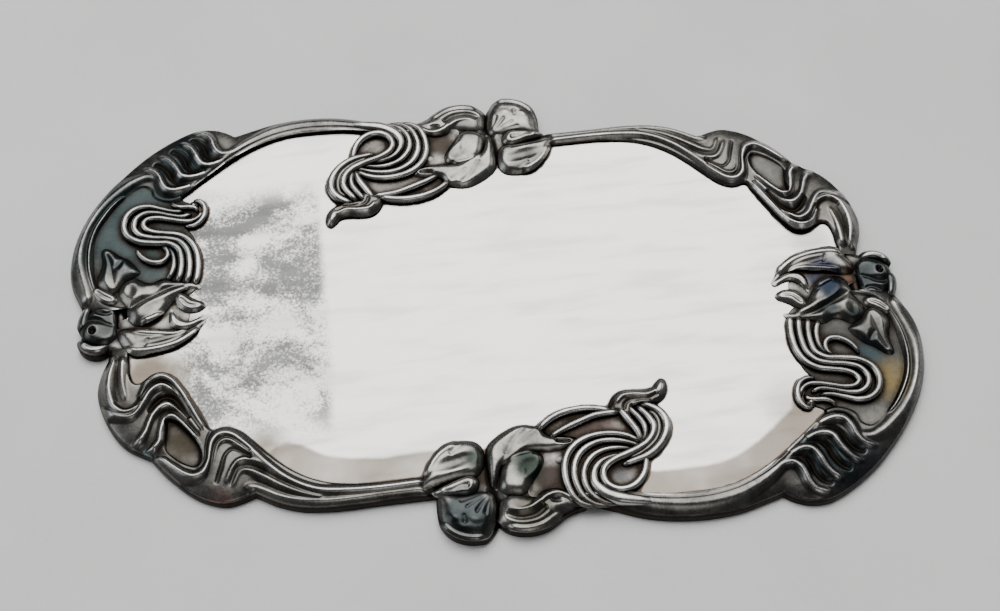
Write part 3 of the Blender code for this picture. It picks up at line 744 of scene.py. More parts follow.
def end_flower():
    """An iris seen from above, its throat at the tray's end and its petals over the field."""
    ground = petal([(143.6, -17.0), (141.6, -12.6), (144.0, -9.0), (143.2, -4.0), (143.8, 0.0),
                    (140.0, 4.0), (134.6, 3.4), (128.0, 5.6), (120.0, 5.0), (110.0, 0.6),
                    (104.4, -5.0), (105.0, -14.0), (112.0, -20.0), (122.0, -24.0),
                    (128.0, -32.0), (134.0, -35.0), (136.0, -26.0), (138.6, -19.6)],
                   3.4, 4.4, 2.0, FOOT, [
        hollow((129.0, -9.4), (4.0, 4.6), 2.6, 0, 1.6),
    ])
    bodies = [
        ground,
        # upper petal, folded at its tip, with a shallow fold beside its midrib
        petal([(99.8, -5.0), (100.8, -3.2), (102.5, -0.9), (105.7, 2.5), (110.5, 5.3),
               (114.9, 6.5), (119.1, 7.0), (122.2, 7.5), (124.8, 7.2), (127.7, 4.8),
               (129.8, 1.4), (130.8, -1.8), (130.0, -4.0), (127.6, -4.6), (124.0, -3.8),
               (119.4, -2.4), (116.1, -2.2), (112.2, -1.2), (109.0, -0.9), (105.5, -1.7),
               (102.5, -4.0)], 4.5, 7.0, 4.4, FIELD_TOP, [
            ridge([(101.4, -3.4), (104.6, 0.2), (109.6, 3.4), (115.0, 4.9), (121.0, 5.4),
                   (125.4, 4.8), (128.6, 1.8)], [5.6, 6.6, 7.0, 7.2, 7.2, 6.8], 0.9, 0.6),
            hollow((114.6, 1.6), (8.4, 1.5), 6.0, 10, 0.8, 0.6),
            ridge([(104.6, -2.4), (110.0, -0.2), (117.0, -0.9), (124.0, -2.2), (128.6, -2.6)],
                  [5.4, 6.4, 6.8, 6.7, 6.0], 1.0, 0.5),
            valley([(121.6, 4.4), (120.4, 2.2), (119.8, 0.4)], [6.4, 6.2, 6.2], 0.7, 0.15),
        ]),
        # the blue recess between the petals, with the fold that hooks over it
        petal([(109.4, -1.6), (114.0, -1.6), (120.0, -2.2), (126.0, -3.8), (129.8, -4.4),
               (130.2, -7.2), (127.4, -8.4), (123.6, -6.0), (119.0, -5.4), (114.6, -8.4),
               (111.6, -10.4), (108.4, -6.0)], 4.3, 4.6, 2.0, 2.6),
        petal([(100.0, -5.4), (103.2, -3.0), (107.0, -1.3), (110.6, -1.9), (112.6, -4.2),
               (112.8, -7.6), (112.0, -10.2), (110.5, -8.0), (108.5, -5.6), (106.0, -4.7),
               (103.3, -5.4), (101.1, -6.2)], 4.8, 6.6, 2.0, FIELD_TOP, [
            valley([(103.0, -4.4), (107.0, -3.4), (110.0, -4.2), (111.4, -7.6)],
                   [5.8, 6.0, 5.7], 0.9, 0.15),
        ]),
        petal([(100.0, -10.2), (102.4, -8.4), (105.1, -8.1), (107.4, -8.7), (109.5, -10.7),
               (110.6, -13.3), (111.0, -16.2), (108.9, -17.4), (106.5, -15.8), (104.4, -14.0),
               (102.3, -12.7), (100.5, -11.6)], 4.7, 6.5, 2.6, FIELD_TOP, [
            valley([(101.6, -10.6), (105.4, -10.8), (109.0, -14.4)], [5.6, 5.9, 5.6], 0.8, 0.15),
        ]),
        # the broad middle petal
        petal([(101.4, -17.8), (104.8, -17.8), (107.9, -16.7), (111.1, -13.1), (114.4, -8.9),
               (117.8, -6.2), (121.0, -5.0), (124.1, -4.9), (126.4, -6.7), (127.4, -9.8),
               (127.9, -13.3), (129.2, -15.7), (130.3, -18.5), (129.8, -21.5), (127.6, -23.9),
               (125.0, -24.6), (122.7, -23.7), (120.6, -22.3), (118.2, -22.0), (115.5, -23.2),
               (113.1, -23.2), (110.9, -22.1), (107.8, -21.2), (104.5, -20.7),
               (101.9, -19.3)], 4.6, 7.4, 5.6, FIELD_TOP, [
            ridge([(104.0, -19.0), (109.6, -17.4), (115.0, -14.6), (119.6, -11.6),
                   (123.6, -9.6)], [5.8, 6.8, 7.2, 7.3, 6.9], 0.9, 0.7),
            valley([(106.0, -20.0), (112.0, -18.8), (118.0, -16.2), (123.4, -13.6),
                    (127.0, -11.4)], [5.5, 5.7, 5.8, 6.0, 5.6], 0.8, 0.3, 0.6),
            ridge([(113.6, -10.6), (117.4, -7.8), (121.4, -6.6), (124.4, -7.8)],
                  [6.2, 6.9, 7.1, 6.6], 0.9, 0.6),
            hollow((117.6, -11.2), (3.4, 1.8), 6.7, 35, 0.5, 1.0),
            ridge([(120.4, -21.0), (122.6, -17.8), (124.0, -14.8)], [6.4, 7.1, 6.8], 0.8, 0.7),
            hollow((118.0, -19.4), (2.4, 2.6), 6.2, 0, 0.5, 0.9),
            hollow((126.6, -19.6), (2.0, 2.6), 6.3, 0, 0.5, 0.9),
        ]),
        # the narrow leaf that points along the border
        petal([(130.0, -19.6), (127.3, -22.4), (124.5, -24.4), (121.6, -26.4), (123.3, -28.8),
               (124.8, -31.0), (126.7, -33.2), (129.6, -34.9), (132.2, -37.4), (134.6, -38.8),
               (136.6, -38.2), (136.9, -35.7), (136.4, -32.9), (137.0, -29.3), (138.3, -25.8),
               (138.1, -22.7), (136.1, -20.0), (133.1, -18.2)], 4.2, 7.2, 5.2, FIELD_TOP, [
            valley([(131.6, -20.4), (132.4, -25.6), (133.2, -31.0), (134.8, -36.4)],
                   [6.2, 6.3, 6.1, 5.5], 0.45, 0.25, 0.6),
            valley([(132.0, -28.4), (129.6, -31.0), (128.2, -33.6)], [6.4, 6.2, 5.6], 0.45, 0.2),
        ]),
        petal([(130.4, -14.8), (134.2, -14.0), (137.6, -15.5), (139.5, -18.4), (140.6, -20.8),
               (138.2, -23.2), (134.9, -21.6), (132.1, -19.6), (130.3, -17.6)],
              4.2, 6.5, 2.6, 2.6, [
            valley([(132.0, -16.0), (135.4, -18.0), (138.4, -20.8)], [5.7, 5.9, 5.6], 0.9, 0.2),
        ]),
        # the knob: a cup round the throat, the bud above it and the lobes beside it
        petal([(130.6, -1.6), (132.2, 0.6), (134.8, 1.8), (138.2, 1.6), (141.4, -0.4),
               (143.4, -4.0), (143.0, -8.4), (141.0, -12.0), (137.4, -14.6), (133.6, -14.2),
               (131.2, -12.4), (130.8, -8.0)], 4.0, 6.8, 3.8, 2.6, [
            hollow((133.6, -7.6), (2.4, 4.4), 5.7, 8, 0.5, 1.0),
            dome((139.0, -4.6), (3.0, 3.4), 7.1, 0, 1.4, 0.7),
            hollow((139.3, -4.4), (1.3, 1.5), 5.0, 0, 1.6),
            valley([(131.4, -5.6), (134.2, -6.8), (137.4, -8.6), (140.6, -8.8), (143.0, -7.4)],
                   [5.2, 5.3, 5.2, 4.9], 0.9, 0.25),
            valley([(131.8, -11.6), (134.4, -10.8), (137.4, -12.2), (139.4, -14.0)],
                   [5.0, 5.3, 5.1, 4.6], 0.9, 0.2),
        ]),
        petal([(132.2, 0.2), (134.1, 3.4), (137.0, 4.9), (141.0, 4.4), (144.2, 1.6),
               (144.7, -1.6), (142.4, -2.2), (138.8, 0.0), (135.6, 0.2)],
              3.5, 6.6, 2.8, FOOT, [
            valley([(134.6, 2.0), (138.8, 2.6), (142.4, 0.4)], [5.6, 5.9, 5.4], 0.9, 0.2),
        ]),
        petal([(140.6, -6.0), (143.2, -4.6), (144.8, -6.6), (144.6, -10.0), (143.4, -13.2),
               (141.4, -15.8), (139.4, -14.6), (139.8, -11.0)], 3.5, 6.2, 2.2, FOOT),
        petal([(129.2, -3.2), (131.0, -2.4), (132.0, -6.0), (131.8, -11.6), (131.4, -15.6),
               (129.4, -15.0), (128.2, -11.6), (127.8, -7.2)], 3.0, 4.0, 1.4, 2.6),
    ]
    return pressed(joined(bodies), *END_PRESS)


# ---------------------------------------------------------------- tendrils

LOOP_GROUND = [
    (11.0, -50.8), (14.8, -47.8), (19.1, -46.0), (25.4, -45.4), (31.0, -45.8), (34.4, -46.6),
    (37.9, -44.6), (44.0, -44.0), (50.0, -46.0), (52.6, -49.8), (53.8, -54.4),
    (53.0, -59.0), (51.0, -62.5), (48.0, -65.0), (44.8, -67.5), (43.8, -71.3), (41.8, -74.4),
    (38.6, -77.0), (36.0, -80.0), (26.0, -80.6), (17.0, -80.0), (14.0, -74.0), (13.0, -62.0),
]


GROUND_LIFT = 0.1        # the tendrils' foot above the field
GROUND_RISE = 0.5        # the ground of the loop: how much it rises, and over what run
GROUND_RUN = 1.5
LOOP_FOOT = 4.2


def loop_tendril():
    """Ribs that leave the side flower, fan out, cross over and turn back in a loop."""
    rim = smooth(LOOP_GROUND, closed=True)

    def base(points):
        d, _, _ = nearest(points, rim, closed=True)
        return FIELD_TOP + GROUND_LIFT + GROUND_RISE * np.clip(d / GROUND_RUN, 0, 1)
    ground = shell(rim, base, [
        hollow((35.5, -70.4), (5.0, 3.4), FIELD_TOP + GROUND_LIFT, 10, 0.5),
    ], FIELD_TOP, spacing=GROUND_SPACING)
    low = LOOP_FOOT
    bodies = [
        ground,
        # the two ribs that arch over from the petal to the leaf
        strand([(9.0, -53.0), (11.4, -50.4), (14.8, -48.2), (19.1, -46.7), (25.4, -46.1),
                (31.0, -46.9), (36.0, -48.6)], [2.6, 2.8, 2.8, 2.8], [6.4, 6.9, 6.8, 6.4], low),
        strand([(12.4, -55.8), (15.2, -54.2), (19.0, -52.5), (24.0, -50.7), (29.0, -49.2),
                (34.0, -48.8), (38.4, -48.9)], [2.2, 2.7, 2.7, 2.4], [6.3, 6.8, 6.8, 6.4], low),
        # the neck below the leaf
        strand([(37.0, -46.6), (38.6, -49.4), (40.4, -52.7), (42.4, -56.9), (43.4, -62.0)],
               [2.4, 3.0, 2.8, 2.0], [6.6, 7.0, 6.9, 6.2], low),
        strand([(40.4, -46.4), (42.0, -49.2), (43.8, -52.0), (45.0, -54.8), (44.9, -58.0),
                (43.4, -61.4)], [2.2, 2.6, 2.5, 2.0], [6.5, 6.9, 6.7, 6.2], low),
        # the loop
        strand([(43.4, -46.8), (45.2, -49.4), (47.2, -52.4), (48.1, -55.4), (47.2, -58.6),
                (44.9, -61.2), (41.6, -63.0), (37.9, -64.4), (33.2, -66.0), (29.8, -68.2),
                (28.5, -71.0), (29.3, -74.2), (32.0, -76.4), (35.4, -76.8), (39.0, -75.4),
                (41.8, -72.4), (43.2, -68.9), (43.9, -65.0)],
               [2.4, 3.0, 3.0, 2.8, 2.8, 3.0, 3.0, 2.2], [6.8, 7.1, 7.1, 7.0, 7.0, 6.9, 6.3], low),
        # the big bow round the outside
        strand([(44.6, -46.6), (47.4, -47.6), (50.6, -49.9), (52.4, -53.0), (52.4, -56.8),
                (50.6, -60.6), (47.6, -63.8), (43.8, -66.0), (39.8, -67.0), (35.2, -68.0)],
               [2.4, 3.2, 3.4, 3.2, 3.0, 2.0], [6.5, 7.0, 7.1, 7.0, 6.7, 6.0], low),
        strand([(47.0, -49.0), (49.6, -52.0), (50.0, -56.0), (48.6, -59.8), (45.8, -62.6),
                (42.0, -64.8), (37.6, -66.2)], [1.6, 2.2, 2.2, 1.8], [6.2, 6.6, 6.5, 6.0], low),
        # the fan of ribs behind the loop, which runs out along the rail
        strand([(26.6, -81.2), (21.0, -80.2), (18.0, -77.6), (16.6, -74.0), (16.0, -70.0),
                (16.4, -65.8), (18.2, -61.8), (21.4, -58.8), (25.4, -57.0), (30.0, -56.3),
                (34.6, -56.6), (39.0, -58.0), (43.4, -61.0)],
               [1.4, 2.6, 2.9, 2.9, 2.6, 2.2], [4.6, 6.2, 6.8, 6.9, 6.7, 6.3], low),
        strand([(30.0, -81.4), (24.6, -80.6), (21.2, -77.8), (19.6, -74.2), (19.0, -70.2),
                (19.8, -66.0), (22.0, -62.4), (25.4, -60.0), (29.6, -58.8), (34.4, -59.0),
                (39.6, -60.6), (43.0, -62.4)],
               [1.4, 2.5, 2.8, 2.7, 2.4, 1.9], [4.6, 6.0, 6.6, 6.7, 6.5, 6.1], low),
        strand([(33.0, -81.2), (27.4, -80.2), (24.0, -77.4), (22.3, -73.8), (22.2, -69.8),
                (23.8, -66.2), (26.8, -63.4), (30.6, -62.0), (35.0, -61.8), (40.0, -62.8)],
               [1.4, 2.5, 2.7, 2.5, 2.0, 1.6], [4.6, 5.9, 6.4, 6.5, 6.3, 6.0], low),
        strand([(46.0, -82.6), (38.0, -81.0), (31.6, -79.2), (27.6, -76.6), (25.4, -73.2),
                (25.8, -69.4), (28.4, -66.2), (32.6, -64.6), (37.0, -64.4)],
               [2.0, 3.8, 4.6, 4.2, 3.0, 2.2, 1.6], [5.8, 6.8, 7.1, 6.9, 6.4, 6.1, 5.9], low),
        # the leaf: a ribbon folded along its crest
        petal([(34.2, -48.6), (34.4, -45.6), (36.2, -42.6), (39.2, -40.8), (43.0, -40.6),
               (47.2, -41.2), (50.2, -40.6), (52.0, -38.8), (53.6, -37.6), (55.2, -38.4),
               (55.4, -41.4), (54.2, -44.4), (51.6, -46.4), (48.0, -46.8), (44.2, -46.6),
               (42.6, -48.6), (42.8, -51.4), (40.4, -51.8), (37.6, -50.2)],
              4.9, 6.6, 2.4, FIELD_TOP, [
            ridge([(36.4, -49.4), (37.0, -46.0), (39.4, -43.4), (43.4, -43.2), (47.6, -43.8),
                   (51.4, -42.8), (54.0, -39.6)], [6.6, 7.1, 7.2, 7.1, 6.9, 6.0], 1.0, 0.5),
            valley([(39.2, -49.0), (40.2, -46.2), (43.4, -44.9), (48.0, -45.3), (52.2, -43.6)],
                   [5.9, 6.0, 6.0, 5.9, 5.8], 0.9, 0.2),
            ridge([(41.4, -50.0), (42.0, -47.0), (45.2, -46.0), (49.4, -46.0), (52.6, -44.6)],
                  [6.0, 6.5, 6.5, 5.8], 1.2, 0.3),
        ]),
    ]
    return joined(bodies)


def whiplash():
    """Parallel ribs that drop from the end flower, double back and end in a curl."""
    low = FIELD_TOP + GROUND_LIFT
    bodies = [
        strand([(103.4, -18.8), (102.4, -23.2), (102.0, -27.7), (102.6, -33.2), (104.9, -37.8),
                (108.6, -40.5), (113.2, -41.7), (117.6, -42.8), (120.4, -44.6), (121.2, -46.9),
                (119.6, -48.6), (116.0, -48.8), (111.6, -47.6), (107.2, -46.4), (103.8, -46.2),
                (101.0, -47.8), (100.0, -50.6)],
               [2.4, 2.8, 2.7, 2.6, 2.5, 2.3, 2.2, 1.7], [6.2, 6.4, 6.4, 6.3, 6.0], low),
        strand([(106.4, -19.6), (105.3, -23.8), (105.0, -29.0), (105.8, -34.0), (108.4, -37.6),
                (112.8, -39.3), (118.2, -40.3), (122.6, -42.2), (124.5, -45.4), (123.8, -49.0),
                (120.6, -51.2), (116.2, -50.9), (111.6, -49.4), (107.2, -48.4), (103.6, -49.4)],
               [2.5, 2.9, 2.7, 2.6, 2.6, 2.3, 1.8], [6.3, 6.6, 6.6, 6.4, 6.0], low),
        strand([(109.6, -20.4), (108.3, -24.8), (107.9, -30.0), (108.8, -34.4), (112.0, -37.0),
                (117.4, -37.9), (123.0, -39.2), (127.0, -42.4), (128.2, -46.8), (126.8, -51.2),
                (123.2, -53.8), (119.0, -54.0), (114.6, -52.4), (110.6, -51.0), (106.4, -50.6)],
               [2.5, 2.9, 2.8, 2.8, 2.8, 2.4, 1.8], [6.3, 6.7, 6.8, 6.5, 6.0], low),
        strand([(113.2, -21.8), (111.2, -25.4), (110.5, -29.4), (111.2, -33.4), (113.4, -36.4)],
               [2.2, 2.5, 2.3, 1.8], [6.1, 6.4, 6.2, 5.8], low),
        # the loop beside the stem
        strand([(124.0, -37.0), (122.8, -34.0), (120.6, -31.4), (117.6, -29.8), (114.6, -29.9),
                (112.8, -31.8), (113.0, -34.6), (115.2, -37.0)],
               [1.6, 2.3, 2.5, 2.3, 1.8], [5.8, 6.3, 6.5, 6.4, 6.0], low),
        # the turn at the field's corner, and the curl that ends in a small ball
        strand([(106.8, -44.4), (103.6, -44.0), (100.9, -45.4), (99.3, -48.2), (99.1, -51.6),
                (100.6, -54.4), (103.2, -55.4)], [1.6, 2.3, 2.4, 1.8], [5.8, 6.3, 6.2, 5.6], low),
        strand([(101.6, -49.6), (102.4, -51.6), (104.7, -52.3), (107.8, -52.6), (110.2, -53.8),
                (111.0, -56.0)], [1.6, 2.1, 2.2, 1.6], [5.8, 6.2, 6.1, 5.6], low),
        petal([(101.3, -52.6), (102.9, -50.9), (104.7, -52.1), (104.6, -54.0), (103.0, -54.9),
               (101.5, -54.1)], 4.9, 6.6, 1.8, low),
    ]
    return joined(bodies)


# ---------------------------------------------------------------- field plate

PLATE_HALF = [
    (-128.0, -2.0), (-127.5, -12.0), (-124.0, -19.5), (-117.0, -20.5), (-112.0, -25.0),
    (-106.0, -35.0), (-101.0, -42.0), (-94.0, -43.0), (-88.0, -47.0), (-80.0, -55.0),
    (-70.0, -62.0), (-58.0, -66.0), (-45.0, -67.0), (-33.0, -67.0), (-10.0, -68.0),
    (15.0, -69.0), (30.0, -75.0), (45.0, -82.4), (56.0, -83.0), (68.0, -82.4),
    (80.0, -79.0), (90.0, -73.4), (99.0, -67.0), (106.0, -61.0), (112.0, -56.0),
    (114.0, -50.0), (114.0, -35.0), (116.0, -24.0), (124.0, -16.0), (128.0, -6.0),
]


WAVE_HEIGHT = 0.012
WAVE_ALONG = (17.0, 0.7, 23.0)   # length of the waves, how much they bend, and over what length
WAVE_ACROSS = (14.0, 41.0)       # length of the waves, and of their slant


def field_plate():
    """The thin plate: flat, with the faint waves of a rolled and polished sheet."""
    outline = smooth(np.vstack([PLATE_HALF, turned(PLATE_HALF)]), closed=True)

    def height(points):
        x, y = points.T
        bend = WAVE_ALONG[1] * np.sin(y / WAVE_ALONG[2])
        waves = (np.sin(x / WAVE_ALONG[0] + bend)
                 + np.sin(y / WAVE_ACROSS[0] + x / WAVE_ACROSS[1]))
        return FIELD_TOP + WAVE_HEIGHT * waves
    return shell(outline, height, [], FIELD_TOP - FIELD_SHEET, spacing=PLATE_SPACING)


# ---------------------------------------------------------------- relief map

MAP_STEP = 0.4           # mm between the samples of the relief map
MAP_HALF = (156.0, 98.0)
MAP_EMPTY = 0.5          # a sample lower than this has no vertex in it
MAP_FILLS = 3
# The ground outside the tray stands this high in the map, so the outer slope and wall under it
# darken with the tarnish colour as painted shade.
WALL_SHADE_TOP = 4.2            # where the outer slope begins to count as worn
WIDE_BLUR = 1.5          # how wide the surroundings are that a hollow of the relief lies in
NARROW_BLUR = 0.7        # and those of the field


def relief_map(bodies):
    """The height of the whole top, on a grid."""
    columns = int(2 * MAP_HALF[0] / MAP_STEP)
    rows = int(2 * MAP_HALF[1] / MAP_STEP)
    grid = np.zeros((rows, columns))
    for verts, _ in bodies:
        ix = ((verts[:, 0] + MAP_HALF[0]) / MAP_STEP).astype(int)
        iy = ((verts[:, 1] + MAP_HALF[1]) / MAP_STEP).astype(int)
        np.maximum.at(grid, (iy, ix), verts[:, 2])
    # fill the samples that no vertex fell in, and raise the ground outside the tray so that the
    # outer wall darkens as painted shade
    for _ in range(MAP_FILLS):
        around = np.maximum.reduce([np.roll(grid, s, axis) for s in (-1, 1) for axis in (0, 1)])
        grid = np.where(grid < MAP_EMPTY, around, grid)
    return np.where(grid < MAP_EMPTY, WALL_SHADE_TOP, grid)


def blurred(grid, radius):
    """The grid under a Gaussian blur; the radius is in millimetres."""
    fy = np.fft.fftfreq(grid.shape[0], MAP_STEP)[:, None]
    fx = np.fft.rfftfreq(grid.shape[1], MAP_STEP)[None, :]
    gain = np.exp(-2 * (math.pi * radius) ** 2 * (fx ** 2 + fy ** 2))
    return np.fft.irfft2(np.fft.rfft2(grid) * gain, grid.shape)


def sampled(grid, verts):
    """The grid's value at each vertex."""
    fx = (verts[:, 0] + MAP_HALF[0]) / MAP_STEP - 0.5
    fy = (verts[:, 1] + MAP_HALF[1]) / MAP_STEP - 0.5
    ix, iy = np.floor(fx).astype(int), np.floor(fy).astype(int)
    u, v = fx - ix, fy - iy
    return (grid[iy, ix] * (1 - u) * (1 - v) + grid[iy, ix + 1] * u * (1 - v)
            + grid[iy + 1, ix] * (1 - u) * v + grid[iy + 1, ix + 1] * u * v)


# ---------------------------------------------------------------- materials

class Nodes:
    """A short way to write a node material."""

    def __init__(self, name):
        self.material = bpy.data.materials.new(name)
        self.material.use_nodes = True
        self.tree = self.material.node_tree
        self.shader = self.tree.nodes["Principled BSDF"]
        self.position = self.tree.nodes.new("ShaderNodeTexCoord").outputs["Object"]

    def link(self, source, target):
        self.tree.links.new(source, target)

    def put(self, value, socket):
        if isinstance(value, bpy.types.NodeSocket):
            self.link(value, socket)
        else:
            socket.default_value = value

    def maths(self, operation, a, b):
        node = self.tree.nodes.new("ShaderNodeMath")
        node.operation = operation
        self.put(a, node.inputs[0])
        self.put(b, node.inputs[1])
        return node.outputs[0]

    def step(self, value, low, high, to_low=0.0, to_high=1.0):
        """A smooth step of the value, from to_low at low to to_high at high."""
        node = self.tree.nodes.new("ShaderNodeMapRange")
        node.interpolation_type = "SMOOTHSTEP"
        self.put(value, node.inputs["Value"])
        for key, number in (("From Min", low), ("From Max", high),
                            ("To Min", to_low), ("To Max", to_high)):
            node.inputs[key].default_value = number
        return node.outputs["Result"]

    def noise(self, scale, detail=3.0, roughness=0.55, distortion=0.0, stretch=None):
        """Noise with the given number of blobs to a metre.

        stretch is (degrees about Z, how many times finer across that direction).
        """
        node = self.tree.nodes.new("ShaderNodeTexNoise")
        source = self.position
        if stretch:
            mapping = self.tree.nodes.new("ShaderNodeMapping")
            mapping.inputs["Rotation"].default_value = (0.0, 0.0, math.radians(stretch[0]))
            mapping.inputs["Scale"].default_value = (1.0, stretch[1], 1.0)
            self.link(self.position, mapping.inputs["Vector"])
            source = mapping.outputs["Vector"]
        self.link(source, node.inputs["Vector"])
        node.inputs["Scale"].default_value = scale
        node.inputs["Detail"].default_value = detail
        node.inputs["Roughness"].default_value = roughness
        node.inputs["Distortion"].default_value = distortion
        return node.outputs["Fac"]

    def attribute(self, name):
        node = self.tree.nodes.new("ShaderNodeAttribute")
        node.attribute_name = name
        return node.outputs["Fac"]

    def axis(self, socket, index):
        node = self.tree.nodes.new("ShaderNodeSeparateXYZ")
        self.link(socket, node.inputs[0])
        return node.outputs[index]

    def normal(self):
        return self.tree.nodes.new("ShaderNodeNewGeometry").outputs["Normal"]

    def mix(self, share, a, b):
        """The colour a, with a share of the colour b."""
        node = self.tree.nodes.new("ShaderNodeMix")
        node.data_type = "RGBA"
        self.put(share, node.inputs[0])
        for value, socket in ((a, node.inputs[6]), (b, node.inputs[7])):
            self.put((*value, 1.0) if isinstance(value, tuple) else value, socket)
        return node.outputs[2]

    def bump(self, height, strength, distance):
        node = self.tree.nodes.new("ShaderNodeBump")
        node.inputs["Strength"].default_value = strength
        node.inputs["Distance"].default_value = distance
        self.link(height, node.inputs["Height"])
        self.link(node.outputs["Normal"], self.shader.inputs["Normal"])

    def spot(self, centre, inner, outer, wander):
        """1 inside a radius round a point, falling raggedly to 0 at the outer one (metres)."""
        node = self.tree.nodes.new("ShaderNodeVectorMath")
        node.operation = "DISTANCE"
        self.link(self.position, node.inputs[0])
        node.inputs[1].default_value = centre
        reach = self.maths("ADD", node.outputs["Value"],
                           self.maths("MULTIPLY", wander, outer))
        return self.step(reach, inner + outer / 4, outer * 1.25, 1.0, 0.0)


SILVER = (0.80, 0.785, 0.76)
# the dark of tarnish in the hollows, and of painted shade on the outer wall
TARNISH_AND_SHADE = (0.016, 0.012, 0.009)
# painted reflection: the teal that slopes facing the back of the tray take on
REFLECTED_TEAL = (0.028, 0.040, 0.042)

# Each kind of piece: roughness of its polish, how worn its crests are, and its aged tones.
FINISHES = {
    "silver_border": (0.18, 0.85, (0.170, 0.162, 0.148), (0.075, 0.074, 0.070)),
    "silver_flower": (0.15, 0.75, (0.34, 0.330, 0.305), (0.15, 0.146, 0.136)),
    "silver_tendril": (0.17, 0.75, (0.20, 0.190, 0.175), (0.09, 0.083, 0.074)),
}

# Millimetres under the surroundings: where tarnish in a hollow, and painted shade on the outer
# wall, begins and is full, and where a crest is worn bright and no longer worn; and how ragged
# these limits are.
TARNISH_AND_SHADE_DEPTH = (-0.05, 0.65)
WORN_DEPTH = (-0.75, -0.10)
RAGGED = 0.30
# Sizes of the patterns in the silver, in blobs to a metre.
RAGGED_GRAIN = 900.0
WORN_PATCHES = 85.0
HAZE_PATCHES = 60.0
TINT_WANDER = 120.0
REFLECTION_PATCHES = 45.0
POLISH_GRAIN = 350.0
DENTS = 700.0

# Coloured tarnish, and two painted glints: (centre in metres, inner and outer radius, colour,
# share, dulled crests).
TINTS = [
    ((-0.124, 0.045, 0.0), 0.016, 0.034, (0.020, 0.032, 0.034), 0.9, 0.2),
    ((0.120, -0.038, 0.0), 0.014, 0.030, (0.034, 0.035, 0.033), 0.9, 0.4),
    ((0.132, -0.047, 0.0), 0.004, 0.012, (0.110, 0.084, 0.038), 0.9, 0.0),
    ((0.128, -0.036, 0.0), 0.004, 0.010, (0.022, 0.036, 0.042), 0.8, 0.3),
    ((-0.109, -0.042, 0.0), 0.005, 0.012, (0.024, 0.020, 0.013), 0.9, 0.0),
    ((0.119, -0.0045, 0.006), 0.005, 0.010, (0.006, 0.009, 0.028), 0.9, 0.6),
    ((0.1305, -0.006, 0.0045), 0.003, 0.008, (0.060, 0.024, 0.012), 0.95, 0.9),
    ((0.138, -0.006, 0.0), 0.008, 0.012, (0.026, 0.035, 0.037), 0.9, 0.8),
    ((-0.138, 0.006, 0.0), 0.008, 0.012, (0.030, 0.036, 0.037), 0.9, 0.7),
    ((0.1205, -0.0105, 0.006), 0.002, 0.006, (0.014, 0.020, 0.030), 0.9, 0.85),
    ((0.117, -0.018, 0.006), 0.002, 0.006, (0.016, 0.024, 0.026), 0.85, 0.7),
    ((0.126, -0.020, 0.006), 0.001, 0.0045, (0.014, 0.022, 0.022), 0.9, 0.8),
    ((0.0115, -0.070, 0.003), 0.004, 0.009, (0.022, 0.016, 0.013), 0.95, 0.0),
    ((-0.0115, 0.070, 0.003), 0.004, 0.009, (0.022, 0.016, 0.013), 0.95, 0.0),
    ((0.0045, -0.0645, 0.006), 0.003, 0.0075, (0.014, 0.024, 0.019), 0.9, 0.85),
    ((-0.0125, -0.060, 0.006), 0.002, 0.0065, (0.016, 0.026, 0.020), 0.9, 0.8),
    ((0.004, -0.080, 0.006), 0.004, 0.010, (0.032, 0.027, 0.017), 0.8, 0.5),
    ((0.035, -0.071, 0.0), 0.003, 0.007, (0.030, 0.034, 0.048), 0.9, 0.0),
    ((-0.0105, -0.068, 0.0), 0.005, 0.009, (0.014, 0.010, 0.008), 0.97, 0.97),
    ((0.0090, 0.066, 0.0), 0.004, 0.008, (0.020, 0.014, 0.011), 0.95, 0.0),
    ((0.027, -0.055, 0.0), 0.006, 0.014, (0.030, 0.017, 0.014), 0.85, 0.0),
    # two painted glints: a bright pink and a bright cyan spot on the rim
    ((-0.097, -0.0635, 0.0), 0.002, 0.007, (0.50, 0.27, 0.24), 0.6, 0.0),
    ((-0.121, -0.045, 0.0), 0.001, 0.006, (0.25, 0.50, 0.55), 0.6, 0.0),
    ((0.118, -0.080, 0.0), 0.006, 0.020, (0.045, 0.055, 0.080), 0.5, 0.0),
    ((0.104, -0.073, 0.0), 0.009, 0.017, (0.022, 0.032, 0.034), 0.85, 0.0),
    ((-0.104, 0.073, 0.0), 0.009, 0.017, (0.022, 0.032, 0.034), 0.85, 0.0),
    ((-0.017, -0.078, 0.006), 0.006, 0.012, (0.016, 0.024, 0.028), 0.9, 0.92),
]


